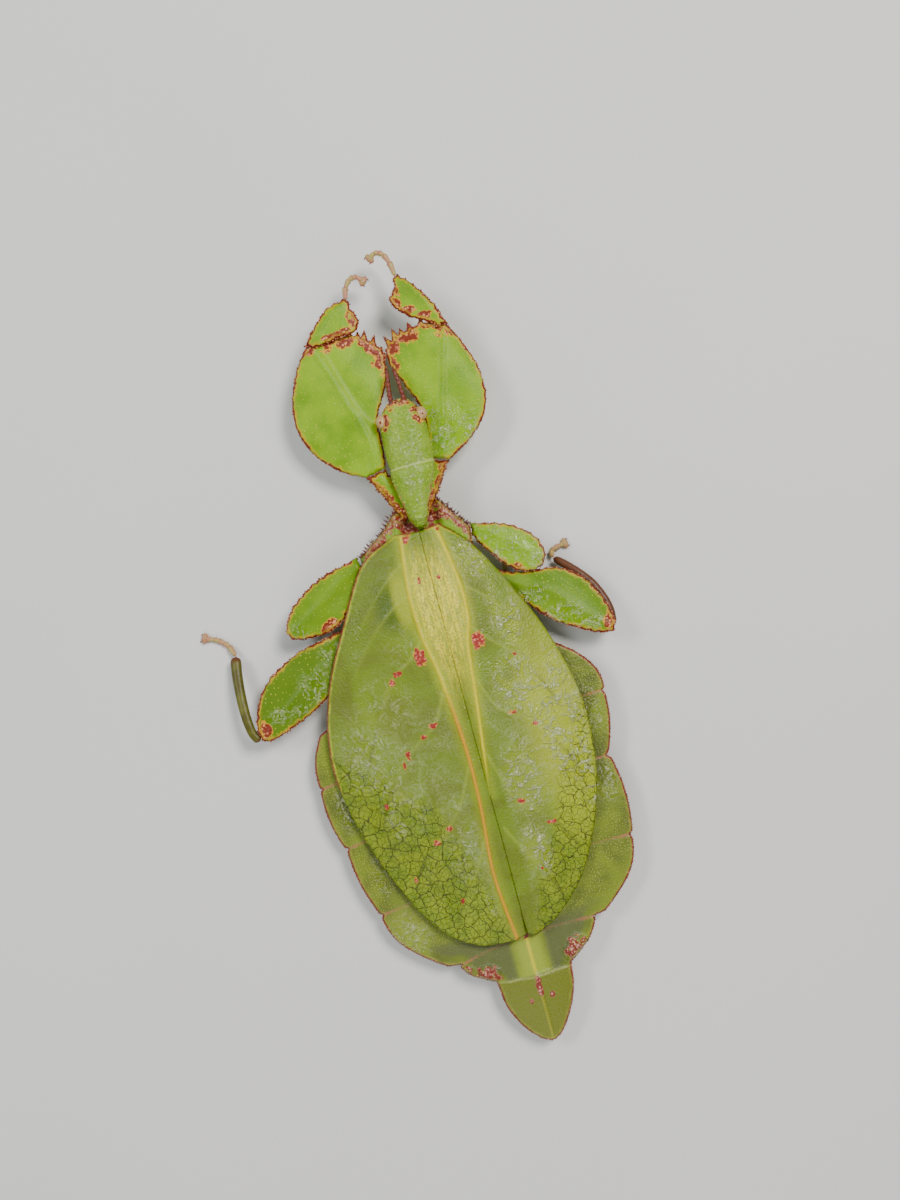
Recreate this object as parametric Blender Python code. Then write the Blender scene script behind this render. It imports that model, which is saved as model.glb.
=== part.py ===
"""Female leaf insect, life size, lying on its belly with the forelegs stretched past the head.

Every length below is in millimetres. The head points along -Y, the back along +Z, and the
animal's left side along +X. A place is given as (out, y): out is the distance from the body's
midline towards the side that the part is on, so it is negative where a part crosses the middle.
"""

import math

import bmesh
import bpy
import numpy as np
from mathutils import Matrix, Vector

MM = 0.001
LEFT = 1
RIGHT = -1
SIDE_NAMES = {LEFT: "left", RIGHT: "right"}

# Space kept between neighbouring pieces, and the rim of every leaf-like sheet
GAP = 0.3
RIM = 0.55

# Head, in its own frame: s runs forward from the neck, turned a little to the animal's right
NECK = (-1.5, -9.0, 6.25)
HEAD_TURN = math.radians(2)
HEAD_RINGS = (
    # s, half width, height above the middle, depth below it
    (0.15, 3.35, 1.75, 1.7),
    (1.6, 3.5, 2.0, 1.9),
    (3.8, 3.5, 2.15, 2.0),
    (5.6, 3.35, 2.1, 1.95),
    (6.9, 2.95, 1.9, 1.8),
    (7.9, 2.25, 1.5, 1.45),
    (8.6, 1.5, 1.05, 1.0),
    (9.0, 0.75, 0.55, 0.5),
)
EYE_PLACE = (2.95, 6.4, 0.35)
EYE_RADII = (0.75, 0.95, 0.8)
ANTENNA_ROOT = (0.95, 7.6, 0.5)
ANTENNA_TIP = (0.42, 13.3, 0.8)
ANTENNA_SEGMENTS = 8
ANTENNA_ROOT_RADIUS = 0.36
ANTENNA_TAPER = 0.16
ANTENNA_BEAD = 0.04

# Mouthparts below the front of the head: s and rise of their middle, and each palp's
# distance from the middle, s and reach
MOUTH_PLACE = (6.6, -2.4)
MOUTH_RADII = (1.25, 0.95, 0.8)
PALPS = ((0.8, 6.9, 1.0), (1.3, 6.1, 0.7))
PALP_HEIGHTS = (-2.5, -2.9)
PALP_RADIUS = 0.32

# Prothorax, tapering back to the notch of the mesothorax: middle x, y, half width, up, down
PROTHORAX_RINGS = (
    (-1.5, -8.75, 3.4, 1.75, 1.7),
    (-1.35, -7.2, 3.1, 1.95, 1.8),
    (-1.15, -5.4, 2.45, 1.9, 1.8),
    (-0.95, -3.4, 1.75, 1.7, 1.7),
    (-0.8, -1.8, 1.35, 1.5, 1.6),
    (-0.75, -0.6, 1.1, 1.3, 1.5),
)
PROTHORAX_FRONT_Z = 6.25
PROTHORAX_ROW_DROP = 0.13

# Mesothorax: its front edge has two shoulders beside a notch, as (x, y) from left to right
SHOULDER_EDGE = (
    (8.5, 1.7),
    (7.3, 0.5),
    (4.9, -1.1),
    (2.9, -2.9),
    (2.1, -1.6),
    (0.7, 0.2),
    (-0.7, 0.4),
    (-2.1, -0.1),
    (-2.9, -2.0),
    (-3.8, -3.7),
    (-5.1, -1.9),
    (-6.5, 0.0),
    (-7.3, 1.0),
)
MESOTHORAX_REAR = 8.0
MESOTHORAX_REAR_WIDTHS = (7.6, 6.9)
SHOULDER_REACH = 8.5
# Height of the back at the middle, and how far it has dropped at the side
SHOULDER_BACK = (6.3, 1.5)
SHOULDER_FRONT_DROP = 0.35
# Height of the underside at the middle, how far it has risen at the side, and over the notch
SHOULDER_BELLY = (0.9, 2.9)
NOTCH_BELLY_RISE = 0.8
METATHORAX_REAR = 16.0
METATHORAX_HALF_WIDTH = 7.8
METATHORAX_BACK = (6.1, 2.4)
METATHORAX_BELLY = (0.5, 2.0)

# Lobes of the abdomen: for each side the first and last y, the rim there, and its bulge
LOBES = (
    ((23.5, 30.8, 20.3, 22.3, 0.7), (20.5, 27.5, 15.8, 19.5, 1.2)),
    ((31.1, 39.6, 22.3, 21.1, 0.5), (27.9, 36.3, 19.4, 17.7, 0.5)),
    ((40.0, 49.7, 20.9, 18.8, 0.5), (36.8, 47.7, 17.9, 18.1, 0.6)),
    ((50.1, 59.2, 18.7, 11.4, 1.8), (48.2, 57.4, 17.9, 11.4, 1.7)),
    ((59.5, 62.8, 9.9, 5.6, 0.9), (57.7, 62.8, 10.0, 5.2, 0.9)),
)
ABDOMEN_FRONT = (
    # rim and y at the left, rim and y at the right, y in the middle
    (8.0, 16.3, 8.0, 16.3, 16.3),
    (13.5, 19.8, 11.6, 18.0, 17.6),
    (18.2, 22.6, 14.8, 19.8, 19.4),
)
ABDOMEN_REAR = 63.0
NOTCH_DEPTH = 0.9
BELLY_FLAT = 1.2
TIP_LEFT = ((5.5, 63.3), (5.1, 66.6), (3.6, 69.8), (1.7, 72.1), (0.35, 73.0))
TIP_RIGHT = ((5.1, 63.3), (4.7, 66.0), (3.5, 69.0), (1.8, 71.6), (0.35, 73.0))
# How far the last shield swells up and down at its middle, and how far its end sinks
TIP_SWELL = (0.5, 1.5)
TIP_DROP = 0.5

# Tegmina: outer edges from the shoulder to the tip, and where each edge point's row starts
TEGMEN_EDGE = {
    LEFT: (
        (3.2, -0.4), (8.5, 2.5), (13.2, 10.0), (17.6, 18.5), (19.6, 27.5),
        (18.6, 36.5), (15.6, 45.5), (11.4, 53.3), (6.5, 57.0), (1.6, 57.6),
    ),
    RIGHT: (
        (3.2, -0.4), (7.2, 4.0), (10.9, 11.0), (14.0, 18.5), (16.0, 27.5),
        (15.7, 36.0), (13.4, 44.3), (9.6, 51.4), (5.0, 55.8), (1.4, 57.6),
    ),
}
TEGMEN_INNER_Y = (-0.2, 1.5, 4.0, 8.0, 13.0, 21.0, 31.5, 42.5, 51.5, 57.4)
TEGMEN_SEAM = {LEFT: -0.15, RIGHT: 0.45}
TEGMEN_MAIN_VEIN = {
    LEFT: ((-0.4, 2.3), (8, 3.2), (14, 3.0), (20, 2.0), (30, 1.2), (38, 1.3), (48, 2.0), (58, 1.2)),
    RIGHT: ((-0.4, 2.6), (8, 3.8), (13, 3.7), (17, 2.7), (24, 1.9), (32, 1.2), (48, 1.1), (58, 1.1)),
}
SIDE_VEINS = (2.0, 3.1, 4.3, 5.4, 6.5, 7.6)
MAIN_RIDGE = 0.35
SIDE_RIDGE = 0.22
PANEL_RISE = 0.3

# Heights of the main surfaces along the body, as (y, z)
TEGMEN_RIM_Z = ((-1, 5.3), (12, 5.0), (20, 4.5), (30, 4.25), (42, 4.2), (50, 4.3), (58, 4.7))
TEGMEN_CROWN = ((-1, 0.9), (10, 2.3), (25, 2.9), (40, 2.4), (50, 1.4), (58, 0.3))
BELLY_Z = ((16, 0.4), (19, 0.0), (35, 0.0), (50, 0.0), (57, 0.9), (63, 1.4))
BACK_Z = ((16, 5.9), (25, 6.2), (40, 5.5), (52, 4.3), (57, 3.8), (63, 3.6))
CORE_HALF_WIDTH = ((16, 7.2), (25, 7.6), (40, 7.0), (50, 5.2), (57, 2.9), (60, 2.2), (63, 2.0))
LOBE_Z = 3.2
# How far the lobes' sheet sinks for each millimetre outside the belly
LOBE_SLOPE = 0.25 / 12

# Lobed leg segments: rows of (front or outer rim point, rear or inner rim point, shaft share)
FORE_FEMUR = {
    LEFT: (
        ((4.8, -8.9), (1.9, -9.5), 0.48),
        ((7.5, -10.3), (1.9, -11.3), 0.71),
        ((9.7, -12.3), (1.9, -13.2), 0.78),
        ((11.4, -14.7), (1.8, -15.2), 0.79),
        ((12.2, -17.1), (1.2, -16.9), 0.74),
        ((12.3, -19.3), (-0.3, -18.9), 0.60),
        ((11.9, -21.5), (-1.5, -21.2), 0.49),
        ((11.2, -23.5), (-1.9, -23.3), 0.40),
        ((10.2, -25.5), (-1.9, -25.2), 0.29),
        ((9.1, -27.1), (-0.6, -26.9), 0.19),
        ((8.4, -28.0), (1.4, -28.1), 0.13),
        ((7.9, -28.6), (3.8, -28.7), 0.15),
    ),
    RIGHT: (
        ((6.9, -8.4), (4.2, -9.3), 0.48),
        ((9.4, -9.7), (4.6, -11.0), 0.58),
        ((11.6, -11.4), (4.9, -12.9), 0.69),
        ((13.1, -13.1), (5.0, -15.0), 0.69),
        ((14.0, -15.3), (4.7, -17.0), 0.65),
        ((14.2, -17.6), (3.9, -19.0), 0.55),
        ((14.0, -19.8), (3.1, -21.0), 0.45),
        ((13.4, -21.9), (2.4, -23.0), 0.34),
        ((12.7, -23.8), (2.4, -24.8), 0.24),
        ((12.0, -25.2), (3.3, -26.2), 0.16),
        ((11.6, -26.0), (5.6, -27.0), 0.13),
        ((11.2, -26.5), (8.3, -27.5), 0.20),
    ),
}
FORE_TIBIA = {
    LEFT: (
        ((7.9, -28.95), (6.6, -29.03), 0.5),
        ((7.1, -29.6), (5.2, -29.05), 0.4),
        ((6.2, -30.4), (3.4, -29.05), 0.25),
        ((5.2, -31.4), (1.8, -29.0), 0.2),
        ((4.1, -32.2), (0.6, -29.5), 0.2),
        ((3.0, -32.8), (0.4, -30.6), 0.25),
        ((2.0, -33.1), (0.8, -31.9), 0.35),
        ((1.5, -33.3), (0.8, -32.9), 0.5),
    ),
    RIGHT: (
        ((11.25, -26.85), (9.9, -27.32), 0.5),
        ((10.6, -28.4), (9.2, -28.15), 0.4),
        ((10.1, -29.6), (7.8, -28.5), 0.3),
        ((9.5, -30.8), (6.3, -29.4), 0.2),
        ((8.7, -32.0), (5.0, -30.5), 0.2),
        ((7.9, -33.1), (4.65, -31.6), 0.25),
        ((7.1, -34.1), (5.5, -32.9), 0.35),
        ((6.6, -34.7), (5.8, -34.3), 0.5),
    ),
}
FORE_COXA = {
    LEFT: (
        ((1.3, -1.6), (-0.2, -2.6), 0.5),
        ((3.3, -5.7), (0.6, -6.0), 0.5),
        ((4.75, -8.55), (1.85, -9.15), 0.5),
    ),
    RIGHT: (
        ((2.6, -1.9), (1.4, -2.6), 0.5),
        ((4.8, -5.2), (2.6, -5.8), 0.5),
        ((6.85, -8.05), (4.15, -8.95), 0.5),
    ),
}
MID_FEMUR = {
    LEFT: (
        ((8.9, 1.2), (8.5, 2.9), 0.5),
        ((11.0, 1.7), (9.6, 5.2), 0.4),
        ((13.2, 2.2), (11.2, 7.4), 0.4),
        ((15.3, 3.0), (13.0, 9.2), 0.42),
        ((17.3, 4.1), (15.2, 10.2), 0.45),
        ((19.1, 5.5), (17.4, 10.4), 0.5),
        ((20.4, 7.1), (19.3, 10.2), 0.55),
        ((21.0, 8.6), (20.5, 9.8), 0.5),
    ),
    RIGHT: (
        ((7.4, 0.7), (7.1, 2.3), 0.5),
        ((9.2, 1.1), (8.0, 4.0), 0.4),
        ((11.0, 1.6), (9.2, 5.8), 0.4),
        ((12.8, 2.4), (10.6, 7.5), 0.42),
        ((14.4, 3.5), (12.2, 8.8), 0.45),
        ((15.6, 4.9), (13.9, 9.3), 0.5),
        ((16.2, 6.4), (15.2, 9.0), 0.55),
        ((16.4, 7.6), (16.0, 8.3), 0.5),
    ),
}
HIND_FEMUR = {
    LEFT: (
        ((9.6, 7.8), (9.0, 10.0), 0.5),
        ((12.2, 9.7), (10.6, 12.2), 0.5),
        ((15.0, 10.6), (12.6, 14.6), 0.5),
        ((17.8, 11.1), (15.0, 17.0), 0.5),
        ((20.5, 11.8), (17.6, 18.8), 0.55),
        ((23.0, 13.0), (20.2, 20.3), 0.6),
        ((25.3, 14.6), (22.8, 21.4), 0.65),
        ((27.1, 16.8), (25.2, 22.3), 0.7),
        ((28.1, 19.4), (26.8, 22.6), 0.7),
        ((28.3, 21.3), (27.7, 22.4), 0.5),
    ),
    RIGHT: (
        ((8.9, 7.6), (8.4, 9.6), 0.5),
        ((11.4, 8.7), (10.0, 11.0), 0.5),
        ((14.0, 9.1), (11.6, 13.0), 0.5),
        ((16.4, 9.4), (13.4, 15.0), 0.5),
        ((18.6, 10.2), (15.4, 16.9), 0.55),
        ((20.4, 11.7), (17.6, 18.4), 0.6),
        ((21.8, 14.0), (19.7, 19.5), 0.65),
        ((22.8, 16.4), (21.6, 20.1), 0.7),
        ((23.3, 18.6), (22.7, 20.1), 0.5),
    ),
}

# Heights along each lobed segment: root, middle and end of its own middle surface
FORE_COXA_Z = (4.5, 4.6, 4.7)
FORE_FEMUR_Z = (4.7, 5.1, 5.0)
FORE_TIBIA_Z = (5.0, 5.1, 4.9)
MID_FEMUR_Z = (3.9, 4.3, 4.3)
HIND_FEMUR_Z = (2.9, 3.9, 4.2)

# For each lobed segment: shaft thickness at root and end, how far the sheet sinks 8 mm from
# the shaft, and the rows of its mesh
FORE_COXA_BUILD = ((1.9, 1.6), 0.4, 6)
FORE_FEMUR_BUILD = ((1.7, 1.1), 0.6, 23)
FORE_TIBIA_BUILD = ((1.1, 0.7), 0.3, 14)
WALKING_FEMUR_BUILD = ((1.6, 0.9), 0.7, 17)

# Plain round segments: (out, y, z) along the middle, then the radius at root and end
MID_COXA = {
    LEFT: ((5.0, 3.2, 2.2), (6.5, 2.3, 3.2), (7.5, 2.0, 3.75), (8.25, 2.1, 3.9)),
    RIGHT: ((4.2, 2.7, 2.2), (5.4, 1.8, 3.2), (6.2, 1.5, 3.75), (6.85, 1.5, 3.9)),
}
HIND_COXA = {
    LEFT: ((5.0, 10.4, 1.9), (6.8, 9.2, 2.5), (8.0, 8.75, 2.8), (8.85, 8.8, 2.9)),
    RIGHT: ((4.6, 10.2, 1.9), (6.2, 9.0, 2.5), (7.4, 8.5, 2.8), (8.2, 8.5, 2.9)),
}
MID_TIBIA = {
    LEFT: ((20.4, 9.1, 3.05), (17.6, 8.4, 2.7), (15.0, 7.6, 1.9), (12.8, 6.9, 1.2)),
    RIGHT: ((15.8, 7.8, 3.05), (14.2, 7.4, 2.7), (12.4, 6.9, 1.9), (10.9, 6.5, 1.2)),
}
HIND_TIBIA = {
    LEFT: (
        (28.6, 22.2, 3.7), (29.1, 20.8, 3.7), (29.4, 18.5, 3.5), (29.45, 15.5, 2.9),
        (29.3, 12.5, 2.1), (29.0, 10.1, 1.4),
    ),
    RIGHT: (
        (23.0, 19.2, 3.05), (22.9, 16.5, 2.9), (21.6, 13.2, 2.5), (19.6, 10.5, 2.0),
        (17.4, 8.3, 1.4),
    ),
}
FORE_TARSUS = {
    LEFT: ((1.05, -33.4, 4.9), (0.85, -34.5, 4.9), (0.0, -35.7, 4.7), (-1.0, -35.9, 4.5), (-1.8, -35.2, 4.2)),
    RIGHT: ((6.15, -34.85, 4.9), (6.0, -36.2, 4.9), (5.4, -37.8, 4.7), (4.4, -38.6, 4.5), (3.5, -38.1, 4.2)),
}
MID_TARSUS = {
    LEFT: ((12.4, 7.4, 0.8), (12.5, 8.6, 0.4), (12.9, 10.0, 0.3), (13.4, 11.4, 0.3)),
    RIGHT: ((10.6, 7.1, 0.8), (10.6, 8.3, 0.4), (10.9, 9.7, 0.3), (11.3, 11.1, 0.3)),
}
HIND_TARSUS = {
    LEFT: ((29.0, 9.6, 0.95), (29.7, 8.4, 0.4), (31.0, 7.2, 0.3), (32.6, 6.5, 0.3)),
    RIGHT: ((17.1, 7.8, 0.95), (17.5, 7.3, 0.5), (18.4, 6.9, 0.3), (19.5, 6.7, 0.3)),
}
COXA_RADII = (1.5, 0.85)
TIBIA_RADII = (0.62, 0.5)
HIND_TIBIA_RADII = {LEFT: (0.62, 0.82), RIGHT: (0.66, 0.55)}
TARSUS_RADIUS = 0.3
TARSUS_SWELL = 0.12
TARSOMERES = 5
CLAW_LENGTH = 0.9
CLAW_ROOT = 0.2
CLAW_TIP_ON_FLOOR = 0.15

# Teeth of the fore femora: share of the front rim from the knee inwards, length, root radius
FEMUR_TEETH = (
    (0.24, 0.6, 0.38),
    (0.35, 0.8, 0.40),
    (0.45, 0.7, 0.38),
    (0.54, 1.2, 0.42),
    (0.66, 1.2, 0.42),
)
# How deep a tooth's root is sunk, how far it sits below the sheet, and how much it leans forward
TOOTH_SUNK = 0.8
TOOTH_DROP = 0.25
TOOTH_FORWARD = 1.5
SHOULDER_SPINES = 5
SPINE_LENGTH = 0.9
SPINE_ROOT = 0.3
SPINE_Z = 4.3
SPINE_SUNK = 0.6
SPINE_LIFT = 0.15

# Cerci: rows of (outer point, inner point, share) and their heights
CERCUS_ROWS = (
    ((2.6, 65.6), (1.7, 65.8), 0.5),
    ((2.9, 66.9), (1.4, 66.9), 0.5),
    ((2.3, 68.3), (1.9, 68.3), 0.5),
)
CERCUS_Z = (1.55, 1.5, 1.6)
CERCUS_SHAFT = (0.7, 0.5)

COLOURS = {
    "leaf_green": ((0.24, 0.42, 0.04, 1.0), 0.35),
    "olive_green": ((0.15, 0.26, 0.05, 1.0), 0.4),
    "tegmen_green": ((0.26, 0.38, 0.06, 1.0), 0.3),
    "body_green": ((0.20, 0.32, 0.05, 1.0), 0.35),
    "eye_cream": ((0.75, 0.60, 0.40, 1.0), 0.2),
    "antenna_brown": ((0.22, 0.06, 0.04, 1.0), 0.5),
    "tarsus_pink": ((0.60, 0.38, 0.25, 1.0), 0.45),
    "claw_brown": ((0.30, 0.12, 0.06, 1.0), 0.4),
}


def clear_scene():
    for old in list(bpy.data.objects):
        bpy.data.objects.remove(old, do_unlink=True)


def new_collection(name):
    made = bpy.data.collections.new(name)
    bpy.context.scene.collection.children.link(made)
    return made


def material(name):
    """The finish of that name, made the first time that it is asked for."""
    if name in bpy.data.materials:
        return bpy.data.materials[name]
    made = bpy.data.materials.new(name)
    made.use_nodes = True
    colour, roughness = COLOURS[name]
    shader = made.node_tree.nodes["Principled BSDF"]
    shader.inputs["Base Color"].default_value = colour
    shader.inputs["Roughness"].default_value = roughness
    shader.inputs["Metallic"].default_value = 0.0
    return made


def smooth_path(points, count):
    """Points spaced along a Catmull-Rom curve through the given ones."""
    known = np.array(points, float)
    padded = np.vstack([2 * known[0] - known[1], known, 2 * known[-1] - known[-2]])
    spans = len(known) - 1
    found = []
    for step in np.linspace(0, spans, count):
        first = min(int(step), spans - 1)
        t = step - first
        before, start, end, after = padded[first:first + 4]
        bend = 2 * before - 5 * start + 4 * end - after
        twist = 3 * start - before - 3 * end + after
        found.append(0.5 * (2 * start + (end - before) * t + bend * t * t + twist * t ** 3))
    return np.array(found)


def profile(pairs):
    """A smooth value along the body, from (y, value) pairs."""
    count = 12 * len(pairs)
    values = smooth_path([[value] for _, value in pairs], count)[:, 0]
    steps = np.linspace(0, len(pairs) - 1, count)
    places = np.interp(steps, range(len(pairs)), [y for y, _ in pairs])
    return lambda y: float(np.interp(y, places, values))


tegmen_rim_z = profile(TEGMEN_RIM_Z)
tegmen_crown = profile(TEGMEN_CROWN)
belly_z = profile(BELLY_Z)
back_z = profile(BACK_Z)
core_half_width = profile(CORE_HALF_WIDTH)


def mesh_object(name, bm, finish, collection):
    """One object from a bmesh in millimetres, with its faces pointing out."""
    bmesh.ops.recalc_face_normals(bm, faces=bm.faces)
    bmesh.ops.scale(bm, vec=(MM, MM, MM), verts=bm.verts)
    mesh = bpy.data.meshes.new(name)
    bm.to_mesh(mesh)
    bm.free()
    mesh.materials.append(material(finish))
    mesh.shade_smooth()
    mesh.set_sharp_from_angle(angle=math.radians(50))
    made = bpy.data.objects.new(name, mesh)
    collection.objects.link(made)
    return made


def slab(top, bottom):
    """A closed solid between two like grids of points, split alike on both faces."""
    rows, columns = len(top), len(top[0])
    bm = bmesh.new()
    upper = [[bm.verts.new(point) for point in row] for row in top]
    lower = [[bm.verts.new(point) for point in row] for row in bottom]
    for grid in (upper, lower):
        for i in range(rows - 1):
            for j in range(columns - 1):
                a, b = grid[i][j], grid[i + 1][j]
                c, d = grid[i + 1][j + 1], grid[i][j + 1]
                bm.faces.new((a, b, c))
                bm.faces.new((a, c, d))
    border = [(0, j) for j in range(columns)]
    border += [(i, columns - 1) for i in range(1, rows)]
    border += [(rows - 1, j) for j in range(columns - 2, -1, -1)]
    border += [(i, 0) for i in range(rows - 2, 0, -1)]
    for (i, j), (k, m) in zip(border, border[1:] + border[:1]):
        bm.faces.new((upper[i][j], upper[k][m], lower[k][m], lower[i][j]))
    return bm


def loft(rings):
    """A closed solid through like rings of points, with flat ends."""
    bm = bmesh.new()
    loops = [[bm.verts.new(point) for point in ring_points] for ring_points in rings]
    sides = len(loops[0])
    for first, second in zip(loops, loops[1:]):
        for k in range(sides):
            m = (k + 1) % sides
            bm.faces.new((first[k], first[m], second[m], second[k]))
    bm.faces.new(loops[0])
    bm.faces.new(loops[-1])
    return bm


def ring(centre, half_width, up, down, turn=0.0, sides=18):
    """A closed oval across the body, with its own height above and depth below the middle."""
    points = []
    for step in range(sides):
        angle = 2 * math.pi * step / sides
        across = half_width * math.cos(angle)
        rise = (up if math.sin(angle) > 0 else down) * math.sin(angle)
        x = centre[0] + across * math.cos(turn)
        y = centre[1] + across * math.sin(turn)
        points.append((x, y, centre[2] + rise))
    return points


def tube(path, radii, collection, name, finish, resolution=2):
    """A round tapered piece along a path, made from a bevelled curve and then a mesh."""
    curve = bpy.data.curves.new(name, "CURVE")
    curve.dimensions = "3D"
    curve.bevel_depth = MM
    curve.bevel_resolution = resolution
    curve.use_fill_caps = True
    spline = curve.splines.new("POLY")
    spline.points.add(len(path) - 1)
    for point, place, radius in zip(spline.points, path, radii):
        point.co = (*(MM * value for value in place), 1.0)
        point.radius = radius
    source = bpy.data.objects.new(name + "_curve", curve)
    collection.objects.link(source)
    graph = bpy.context.evaluated_depsgraph_get()
    mesh = bpy.data.meshes.new_from_object(source.evaluated_get(graph))
    bpy.data.objects.remove(source, do_unlink=True)
    bm = bmesh.new()
    bm.from_mesh(mesh)
    bmesh.ops.remove_doubles(bm, verts=bm.verts, dist=1e-6)
    bmesh.ops.scale(bm, vec=(1 / MM, 1 / MM, 1 / MM), verts=bm.verts)
    return mesh_object(name, bm, finish, collection)


def ellipsoid(centre, radii, collection, name, finish, segments=14):
    bm = bmesh.new()
    bmesh.ops.create_uvsphere(bm, u_segments=segments, v_segments=segments // 2 + 2, radius=1.0)
    bmesh.ops.scale(bm, vec=radii, verts=bm.verts)
    bmesh.ops.translate(bm, vec=centre, verts=bm.verts)
    return mesh_object(name, bm, finish, collection)


def spike(root, tip, radius, collection, finish, sides=6):
    """A tapered spine from root to tip."""
    root, tip = Vector(root), Vector(tip)
    along = tip - root
    bm = bmesh.new()
    bmesh.ops.create_cone(
        bm, cap_ends=True, segments=sides, radius1=radius, radius2=radius * 0.3, depth=along.length
    )
    turn = along.to_track_quat("Z", "Y").to_matrix().to_4x4()
    bmesh.ops.transform(bm, matrix=Matrix.Translation((root + tip) / 2) @ turn, verts=bm.verts)
    return mesh_object("spike", bm, finish, collection)


def largest_surface(bm):
    """Removes every loose scrap, so that one closed surface is left."""
    left = set(bm.faces)
    parts = []
    while left:
        stack = [left.pop()]
        part = set(stack)
        while stack:
            for edge in stack.pop().edges:
                for face in edge.link_faces:
                    if face in left:
                        left.discard(face)
                        part.add(face)
                        stack.append(face)
        parts.append(part)
    parts.sort(key=lambda part: sum(face.calc_area() for face in part))
    for part in parts[:-1]:
        bmesh.ops.delete(bm, geom=list(part), context="FACES")


def settle(piece):
    """Applies a piece's modifiers and keeps its largest closed surface."""
    graph = bpy.context.evaluated_depsgraph_get()
    mesh = bpy.data.meshes.new_from_object(piece.evaluated_get(graph))
    bm = bmesh.new()
    bm.from_mesh(mesh)
    largest_surface(bm)
    bm.to_mesh(mesh)
    bm.free()
    piece.modifiers.clear()
    piece.data = mesh


def fuse(piece, extras):
    """Joins closed pieces into one by a single union, and removes the ones added."""
    added = bpy.data.collections.new("added")
    for extra in extras:
        added.objects.link(extra)
    union = piece.modifiers.new("union", "BOOLEAN")
    union.operation = "UNION"
    union.operand_type = "COLLECTION"
    union.collection = added
    union.solver = "EXACT"
    settle(piece)
    for extra in extras:
        bpy.data.objects.remove(extra, do_unlink=True)
    bpy.data.collections.remove(added)


def trim(piece, neighbours, cutters):
    """Cuts a piece clear of its neighbours by the gap that touching pieces keep."""
    for neighbour in neighbours:
        bm = bmesh.new()
        bm.from_mesh(neighbour.data)
        bm.normal_update()
        moves = [(v, v.normal * GAP * MM * min(v.calc_shell_factor(), 1.6)) for v in bm.verts]
        for vert, move in moves:
            vert.co += move
        mesh = bpy.data.meshes.new("cut_" + neighbour.name)
        bm.to_mesh(mesh)
        bm.free()
        cutter = bpy.data.objects.new(f"cut_{piece.name}_{neighbour.name}", mesh)
        cutter.hide_render = True
        cutter.display_type = "WIRE"
        cutters.objects.link(cutter)
        cut = piece.modifiers.new("clear_" + neighbour.name, "BOOLEAN")
        cut.operation = "DIFFERENCE"
        cut.object = cutter
        cut.solver = "EXACT"
    settle(piece)


def flatten_below_floor(piece):
    """Cuts off what reaches under the floor, which leaves a small flat to stand on."""
    bm = bmesh.new()
    bm.from_mesh(piece.data)
    whole = list(bm.verts) + list(bm.edges) + list(bm.faces)
    cut = bmesh.ops.bisect_plane(
        bm, geom=whole, plane_co=(0, 0, 0), plane_no=(0, 0, -1), clear_outer=True
    )
    edges = [part for part in cut["geom_cut"] if isinstance(part, bmesh.types.BMEdge)]
    bmesh.ops.contextual_create(bm, geom=edges)
    bmesh.ops.recalc_face_normals(bm, faces=bm.faces)
    bm.to_mesh(piece.data)
    bm.free()


def lobed_grid(stations, side, heights, shaft, edge_drop, rows):
    """Upper and lower points of a leaf-like leg segment with a thicker shaft along it."""
    flat = [(*outer, *inner, share) for outer, inner, share in stations]
    heights_along = smooth_path([[height] for height in heights], rows)[:, 0]
    top, bottom = [], []
    for row, (line, middle) in enumerate(zip(smooth_path(flat, rows), heights_along)):
        outer, inner, share = line[0:2], line[2:4], line[4]
        width = math.hypot(*(inner - outer))
        swell = shaft[0] + (shaft[1] - shaft[0]) * row / (rows - 1)
        half = min(0.75 * swell / width, 0.8 * share, 0.8 * (1 - share))
        left_of = share - half
        right_of = share + half
        steps = (
            0.0,
            0.55 * left_of,
            left_of,
            share,
            right_of,
            right_of + 0.38 * (1 - right_of),
            right_of + 0.75 * (1 - right_of),
            1.0,
        )
        thick = (RIM, RIM, 0.35 * swell + 0.65 * RIM, swell, 0.35 * swell + 0.65 * RIM, RIM, RIM, RIM)
        upper, lower = [], []
        for step, depth in zip(steps, thick):
            x, y = outer + (inner - outer) * step
            reach = abs(step - share) * width
            z = middle - edge_drop * (reach / 8.0) ** 2
            upper.append((side * x, y, z + depth / 2))
            lower.append((side * x, y, z - depth / 2))
        top.append(upper)
        bottom.append(lower)
    return top, bottom


def lobed_segment(name, stations, side, heights, shaft, edge_drop, rows, collection):
    top, bottom = lobed_grid(stations, side, heights, shaft, edge_drop, rows)
    return mesh_object(name, slab(top, bottom), "leaf_green", collection)


def round_segment(name, places, side, radii, count, collection, finish):
    """A plain round leg segment that tapers from its root to its end."""
    path = smooth_path([(side * out, y, z) for out, y, z in places], count)
    taper = np.linspace(radii[0], radii[1], count)
    return tube(path, taper, collection, name, finish)


def tarsus(name, places, side, on_floor, collection):
    """Five short swollen joints with a pad and two claws at the end."""
    count = 2 * TARSOMERES + 1
    path = smooth_path([(side * out, y, z) for out, y, z in places], count)
    radii = [TARSUS_RADIUS + TARSUS_SWELL * (step % 2) for step in range(count)]
    radii[-1] = TARSUS_RADIUS + TARSUS_SWELL
    made = tube(path, radii, collection, name, "tarsus_pink", resolution=1)
    end = Vector(path[-1])
    forward = (end - Vector(path[-3])).normalized()
    across = forward.cross(Vector((0, 0, 1))).normalized()
    claws = []
    for turn in (1, -1):
        tip = end + forward * CLAW_LENGTH * 0.8 + across * turn * CLAW_LENGTH * 0.5
        if on_floor:
            tip.z = CLAW_TIP_ON_FLOOR
        root = end - forward * 0.2 + across * turn * 0.1
        claws.append(spike(root, tip, CLAW_ROOT, collection, "claw_brown", sides=5))
    fuse(made, claws)
    if on_floor:
        flatten_below_floor(made)
    return made


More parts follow.
